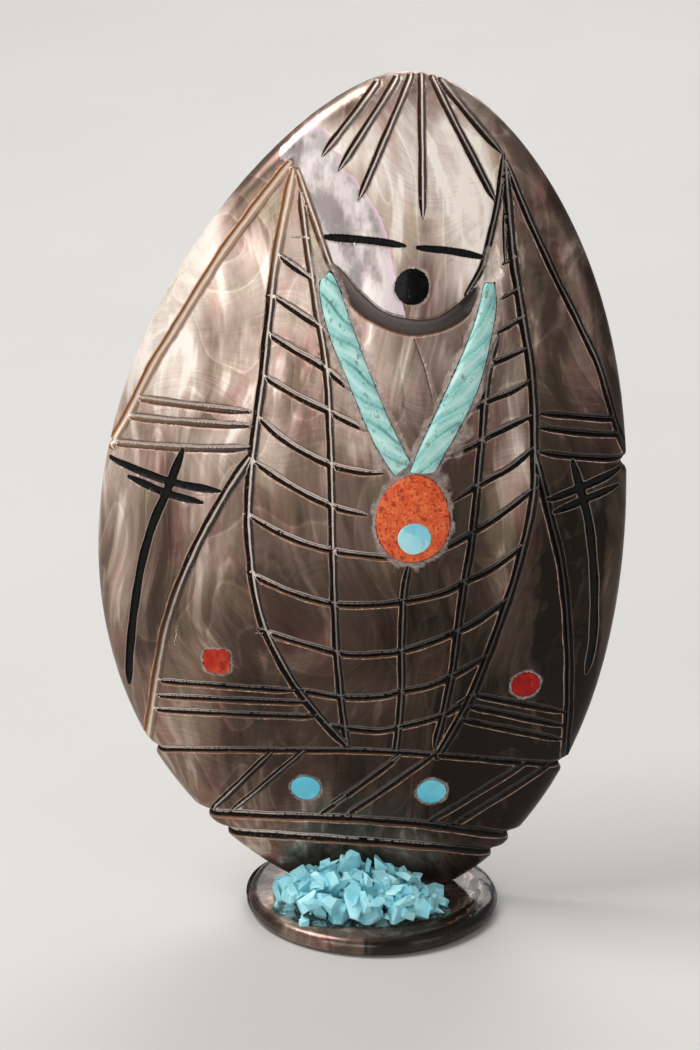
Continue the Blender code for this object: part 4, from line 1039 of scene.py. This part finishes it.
def strand_mesh(low_edge, high_edge, lean):
    """A crowned strip with saw-tooth twists, between two edges."""
    t = np.linspace(0, 1, ROWS)
    low, high = (np.stack([np.interp(t, np.linspace(0, 1, len(edge)), edge[:, k]) for k in (0, 1)], axis=1)
                 for edge in (smooth_path(low_edge, 0.25), smooth_path(high_edge, 0.25)))
    length = np.concatenate([[0], np.cumsum(np.hypot(*np.diff((low + high) / 2, axis=0).T))])
    bm = bmesh.new()
    bmesh.ops.create_grid(bm, x_segments=ROWS - 1, y_segments=ACROSS, size=1.0)
    twist = bm.verts.layers.float.new("twist")
    for vert in bm.verts:
        i = round((vert.co.x + 1) / 2 * (ROWS - 1))
        s = (vert.co.y + 1) / 2
        end = min(1.0, length[i] / 0.9, 0.5 + (length[-1] - length[i]) / 0.6)
        pinch = 0.5 + (s - 0.5) * 0.95 * (0.55 + 0.45 * math.sqrt(max(0.0, 1 - (1 - end) ** 2)))
        x, v = low[i] + (high[i] - low[i]) * pinch
        turn = (length[i] + 0.5 * math.sin(length[i] * 0.8) - lean * TWIST_RUN * (s - 0.5)) / TWIST_PITCH
        saw = 1 - (turn % 1.0)
        vert[twist] = abs(2 * saw - 1)
        crown = 1 - (2 * s - 1) ** 4
        y = bulge(x, v) + 0.10 - crown * (0.12 + TWIST_HIGH * saw * (0.4 + 0.6 * end))
        vert.co = world(x, v, y)
    bmesh.ops.recalc_face_normals(bm, faces=bm.faces)
    if sum(f.normal.y for f in bm.faces) > 0:
        bmesh.ops.reverse_faces(bm, faces=bm.faces)
    bmesh.ops.solidify(bm, geom=bm.faces[:], thickness=STRAND_THICK)
    return outward(bm)


# Painted shade lies in the steps of the twists, and their backs are painted paler as a highlight
pale_blue, p = surface("pale_turquoise", 0.34, 0.5, coat=0.25, coat_rough=0.2)
p.colour = p.blend(p.fade(p.noise(0.5), 0.3, 0.7), (0.29, 0.66, 0.64), (0.48, 0.83, 0.78))
p.lay((0.60, 0.84, 0.78), p.fade(p.noise(1.4, 4.0, 0.6), 0.60, 0.75))
turned = p.plus(p.mask("twist"), p.part(p.noise(0.9), 0.24, -0.12))
p.lay((0.14, 0.34, 0.29), p.fade(turned, 0.80, 0.98, 0.0, 0.6))
p.lay((0.72, 0.95, 0.90), p.fade(turned, 0.50, 0.0, 0.0, 0.55))
specks = p.fade(p.noise(1.3, 3.0, 0.65, stretch=(1.0, 1.0, 0.6)), 0.58, 0.68)
p.lay((0.20, 0.17, 0.08), specks, 0.7)
p.feed("Base Color", p.colour)
p.feed("Roughness", p.fade(specks, 0.0, 1.0, 0.32, 0.5))
p.bump(p.noise(3.0), 0.25, 0.0001)
for name, (low_edge, high_edge) in STRANDS.items():
    made = strand_mesh(low_edge, high_edge, 1.0 if name == "necklace_left" else -1.0)
    finished(made, name + "_strand", pale_blue, [name], sharp=28)

# %% [markdown]
# ## Turquoise chips
# Broken chips hide the glue joint. The frame already holds a chip for each larger one. We
# copy those meshes, weld their loose triangles, knock off corners with random but seeded
# planes, and take the sharpness off the edges. Crumbs of the same stone lie between them.

# %% Chips
chip_look, p = surface("turquoise_chips", 0.42, 0.5, coat=0.15, coat_rough=0.2)
p.colour = p.blend(p.fade(p.noise(0.35), 0.3, 0.7), (0.25, 0.68, 0.78), (0.46, 0.86, 0.92))
p.lay((0.50, 0.80, 0.84), p.fade(p.noise(1.6, 4.0, 0.7), 0.52, 0.78, 0.0, 0.6))
p.lay((0.12, 0.38, 0.44), p.fade(p.noise(0.8, 4.0, 0.7, stretch=(0.7, 0.7, 1.6)), 0.66, 0.76, 0.0, 0.6))
p.feed("Base Color", p.colour)
p.feed("Roughness", p.fade(p.noise(1.2, 2.0), 0.3, 0.7, 0.32, 0.55))
p.bump(p.noise(2.5, 4.0, 0.65), 0.35, 0.00015)
pick = random.Random(23)
HEAP_HIGH, HEAP_SLOPE, HEAP_MIDDLE = 0.0064, 0.56, -0.0020
LEAST_LEFT, BEVEL = 0.34, 0.00004


def random_direction(up_bias=0.0):
    """A seeded random direction."""
    made = Vector((pick.gauss(0, 1), pick.gauss(0, 1), pick.gauss(0, 1) + up_bias))
    return made.normalized()


def break_corners(bm, count, keep):
    """Knocks off corners: planes that stand at a share keep of the way to the outermost point."""
    for _ in range(count):
        middle = sum((vert.co for vert in bm.verts), Vector()) / len(bm.verts)
        way = random_direction(0.3)
        reach = max((vert.co - middle).dot(way) for vert in bm.verts)
        slice_off(bm, middle + way * reach * pick.uniform(*keep), way)


def soften(bm, amount):
    """A tiny bevel on every edge."""
    bmesh.ops.remove_doubles(bm, verts=bm.verts, dist=amount * 0.8)
    bmesh.ops.dissolve_limit(bm, angle_limit=math.radians(3), verts=bm.verts, edges=bm.edges)
    bmesh.ops.bevel(bm, geom=bm.edges[:], offset=amount, segments=1, profile=0.5, affect="EDGES", material=-1,
                    clamp_overlap=True)
    bmesh.ops.triangulate(bm, faces=[f for f in bm.faces if len(f.verts) > 4])
    bmesh.ops.recalc_face_normals(bm, faces=bm.faces)


def heap_top(x):
    """How high the heap of chips reaches at x: highest a little left of the middle."""
    return base_high.z + HEAP_HIGH - HEAP_SLOPE * abs(x - HEAP_MIDDLE) + 0.0005 * math.sin(x * 1900)


for node in sorted(n for n in frame["nodes"] if n.startswith("chip_")):
    bm = bmesh.new()
    bm.from_mesh(frame["nodes"][node].data)
    bmesh.ops.remove_doubles(bm, verts=bm.verts, dist=1e-5)
    bmesh.ops.dissolve_limit(bm, angle_limit=math.radians(2), verts=bm.verts, edges=bm.edges)
    low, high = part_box(node)
    top = max(heap_top((low.x + high.x) / 2), low.z + LEAST_LEFT * (high.z - low.z))
    if high.z > top:
        tilt = Vector((pick.uniform(-0.6, 0.6), pick.uniform(-0.8, 0.1), 1.0)).normalized()
        slice_off(bm, Vector(((low.x + high.x) / 2, (low.y + high.y) / 2, top)), tilt)
    break_corners(bm, 10, (0.36, 0.88))
    soften(bm, BEVEL)
    finished(bm, node.replace("chip_", "chip_stone_"), chip_look, [node], sharp=12)

# %% [markdown]
# ## Crumbs and clear glue
# Crumbs are tiny broken cubes scattered over the heap. The glue is a clear puddle that
# climbs between the chips: a flattened ball with a rippled top. It is see-through by plain
# transmission, because clear glue has no colour of its own.

# %% Crumbs
chip_boxes = [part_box(n) for n in frame["nodes"] if n.startswith("chip_front")]
heap_low = Vector(min(b[0][i] for b in chip_boxes) for i in range(3))
heap_high = Vector(max(b[1][i] for b in chip_boxes) for i in range(3))
crumbs = bmesh.new()


def broken_bit(spot, size, flatness):
    """Adds one broken cube to the crumbs; a low flatness makes it a shard."""
    one = bmesh.new()
    bmesh.ops.create_cube(one, size=size)
    bmesh.ops.scale(one, vec=(pick.uniform(0.7, 1.4), pick.uniform(0.6, 1.1), flatness), verts=one.verts)
    bmesh.ops.rotate(one, cent=(0, 0, 0), matrix=Matrix.Rotation(pick.uniform(0, 3), 3, random_direction()),
                     verts=one.verts)
    break_corners(one, 7, (0.24, 0.74))
    bmesh.ops.translate(one, vec=spot, verts=one.verts)
    spare = bpy.data.meshes.new("bit")
    one.to_mesh(spare)
    one.free()
    crumbs.from_mesh(spare)
    bpy.data.meshes.remove(spare)


CRUMBS, SHARDS = 150, 90
for _ in range(CRUMBS):
    box = pick.choice(chip_boxes)
    spot = Vector((pick.uniform(box[0].x, box[1].x), pick.uniform(box[0].y, box[1].y),
                   pick.uniform(box[0].z, box[1].z)))
    spot.z = min(spot.z, heap_top(spot.x))
    broken_bit(spot, pick.uniform(0.0007, 0.0016), pick.uniform(0.4, 1.0))
for _ in range(SHARDS):
    box = pick.choice(chip_boxes)
    spot = Vector((pick.uniform(box[0].x, box[1].x), box[0].y + 0.0004, 0.0))
    spot.z = min(box[1].z - 0.0002, heap_top(spot.x))
    broken_bit(spot, pick.uniform(0.0016, 0.0032), pick.uniform(0.25, 0.6))
bmesh.ops.recalc_face_normals(crumbs, faces=crumbs.faces)
finished(crumbs, "crumbs", chip_look, sharp=12)
print("heap", [round(c * 1000, 1) for c in (*heap_low, *heap_high)])

# %% Clear glue
clear_glue, p = surface("clear_glue", 0.06)
p.shader.inputs["Base Color"].default_value = (1.0, 1.0, 1.0, 1.0)
p.shader.inputs["Transmission Weight"].default_value = 1.0
p.shader.inputs["IOR"].default_value = 1.33
p.bump(p.noise(1.1, 3.0, 0.6), 0.6, 0.0003)


def puddle(name, mid_x, mid_y, half_x, half_y, high, seed):
    """A low mound of glue on the base."""
    rng = random.Random(seed)
    phase = [rng.uniform(0, 6.28) for _ in range(4)]
    bm = unit_ball(96, 32)
    for vert in bm.verts:
        angle = math.atan2(vert.co.y, vert.co.x)
        edge = 1 + 0.05 * math.sin(3 * angle + phase[0]) + 0.04 * math.sin(7 * angle + phase[1])
        x, y = mid_x + vert.co.x * half_x * edge, mid_y + vert.co.y * half_y * edge
        lump = 1 + 0.25 * math.sin(x * 900 + phase[2]) * math.sin(y * 1100 + phase[3])
        z = base_high.z + 0.00004 + (max(0.0, vert.co.z) ** 0.8) * high * lump
        vert.co = (x, y, z)
    return finished(outward(bm), name, clear_glue)


puddle("glue_front", (heap_low.x + heap_high.x) / 2, (heap_low.y + heap_high.y) / 2,
       (heap_high.x - heap_low.x) * 0.51, (heap_high.y - heap_low.y) * 0.52, 0.0009, 3)

# %% [markdown]
# ## Floor and light
# A pale floor and four soft lamps: one high at the left, which gives the crown and the left
# robe their sheen, a wide one in front at the left, a weak one at the right, and one behind.

# %% Stage
floor_bm = bmesh.new()
bmesh.ops.create_grid(floor_bm, x_segments=1, y_segments=1, size=3.0)
floor_mesh = bpy.data.meshes.new("floor")
floor_bm.to_mesh(floor_mesh)
floor_bm.free()
floor = link(bpy.data.objects.new("floor", floor_mesh))
floor_look, p = surface("pale_floor", 0.6, 0.3)
p.feed("Base Color", p.blend(p.noise(0.02, 2.0), (0.64, 0.63, 0.61), (0.68, 0.67, 0.65)))
floor_mesh.materials.append(floor_look)


def lamp(name, place, wide, high, watts, colour=(1.0, 1.0, 1.0)):
    """A soft rectangular lamp that points at the middle of the figure."""
    data = bpy.data.lights.new(name, "AREA")
    data.shape, data.size, data.size_y, data.energy, data.color = "RECTANGLE", wide, high, watts, colour
    made = link(bpy.data.objects.new(name, data))
    away = Vector(place)
    turn = (away - Vector((0, 0, 0.05))).to_track_quat("Z", "Y").to_matrix().to_4x4()
    made.matrix_world = Matrix.Translation(away) @ turn


lamp("top_key", (-0.40, -0.10, 0.70), 0.40, 0.40, 5.0, (1.0, 0.97, 0.94))
lamp("front_left", (-0.30, -0.87, 0.27), 0.80, 0.42, 2.55, (1.0, 0.98, 0.96))
lamp("right_fill", (0.60, -0.45, 0.25), 0.40, 0.40, 0.5)
lamp("back", (0.10, 0.55, 0.45), 0.50, 0.50, 2.0)
studio = bpy.data.worlds.new("studio")
studio.use_nodes = True
sky = studio.node_tree.nodes["Background"].inputs
sky["Color"].default_value = (0.9, 0.92, 0.95, 1.0)
sky["Strength"].default_value = 0.24
bpy.context.scene.world = studio
bpy.context.scene.view_settings.view_transform = "Standard"
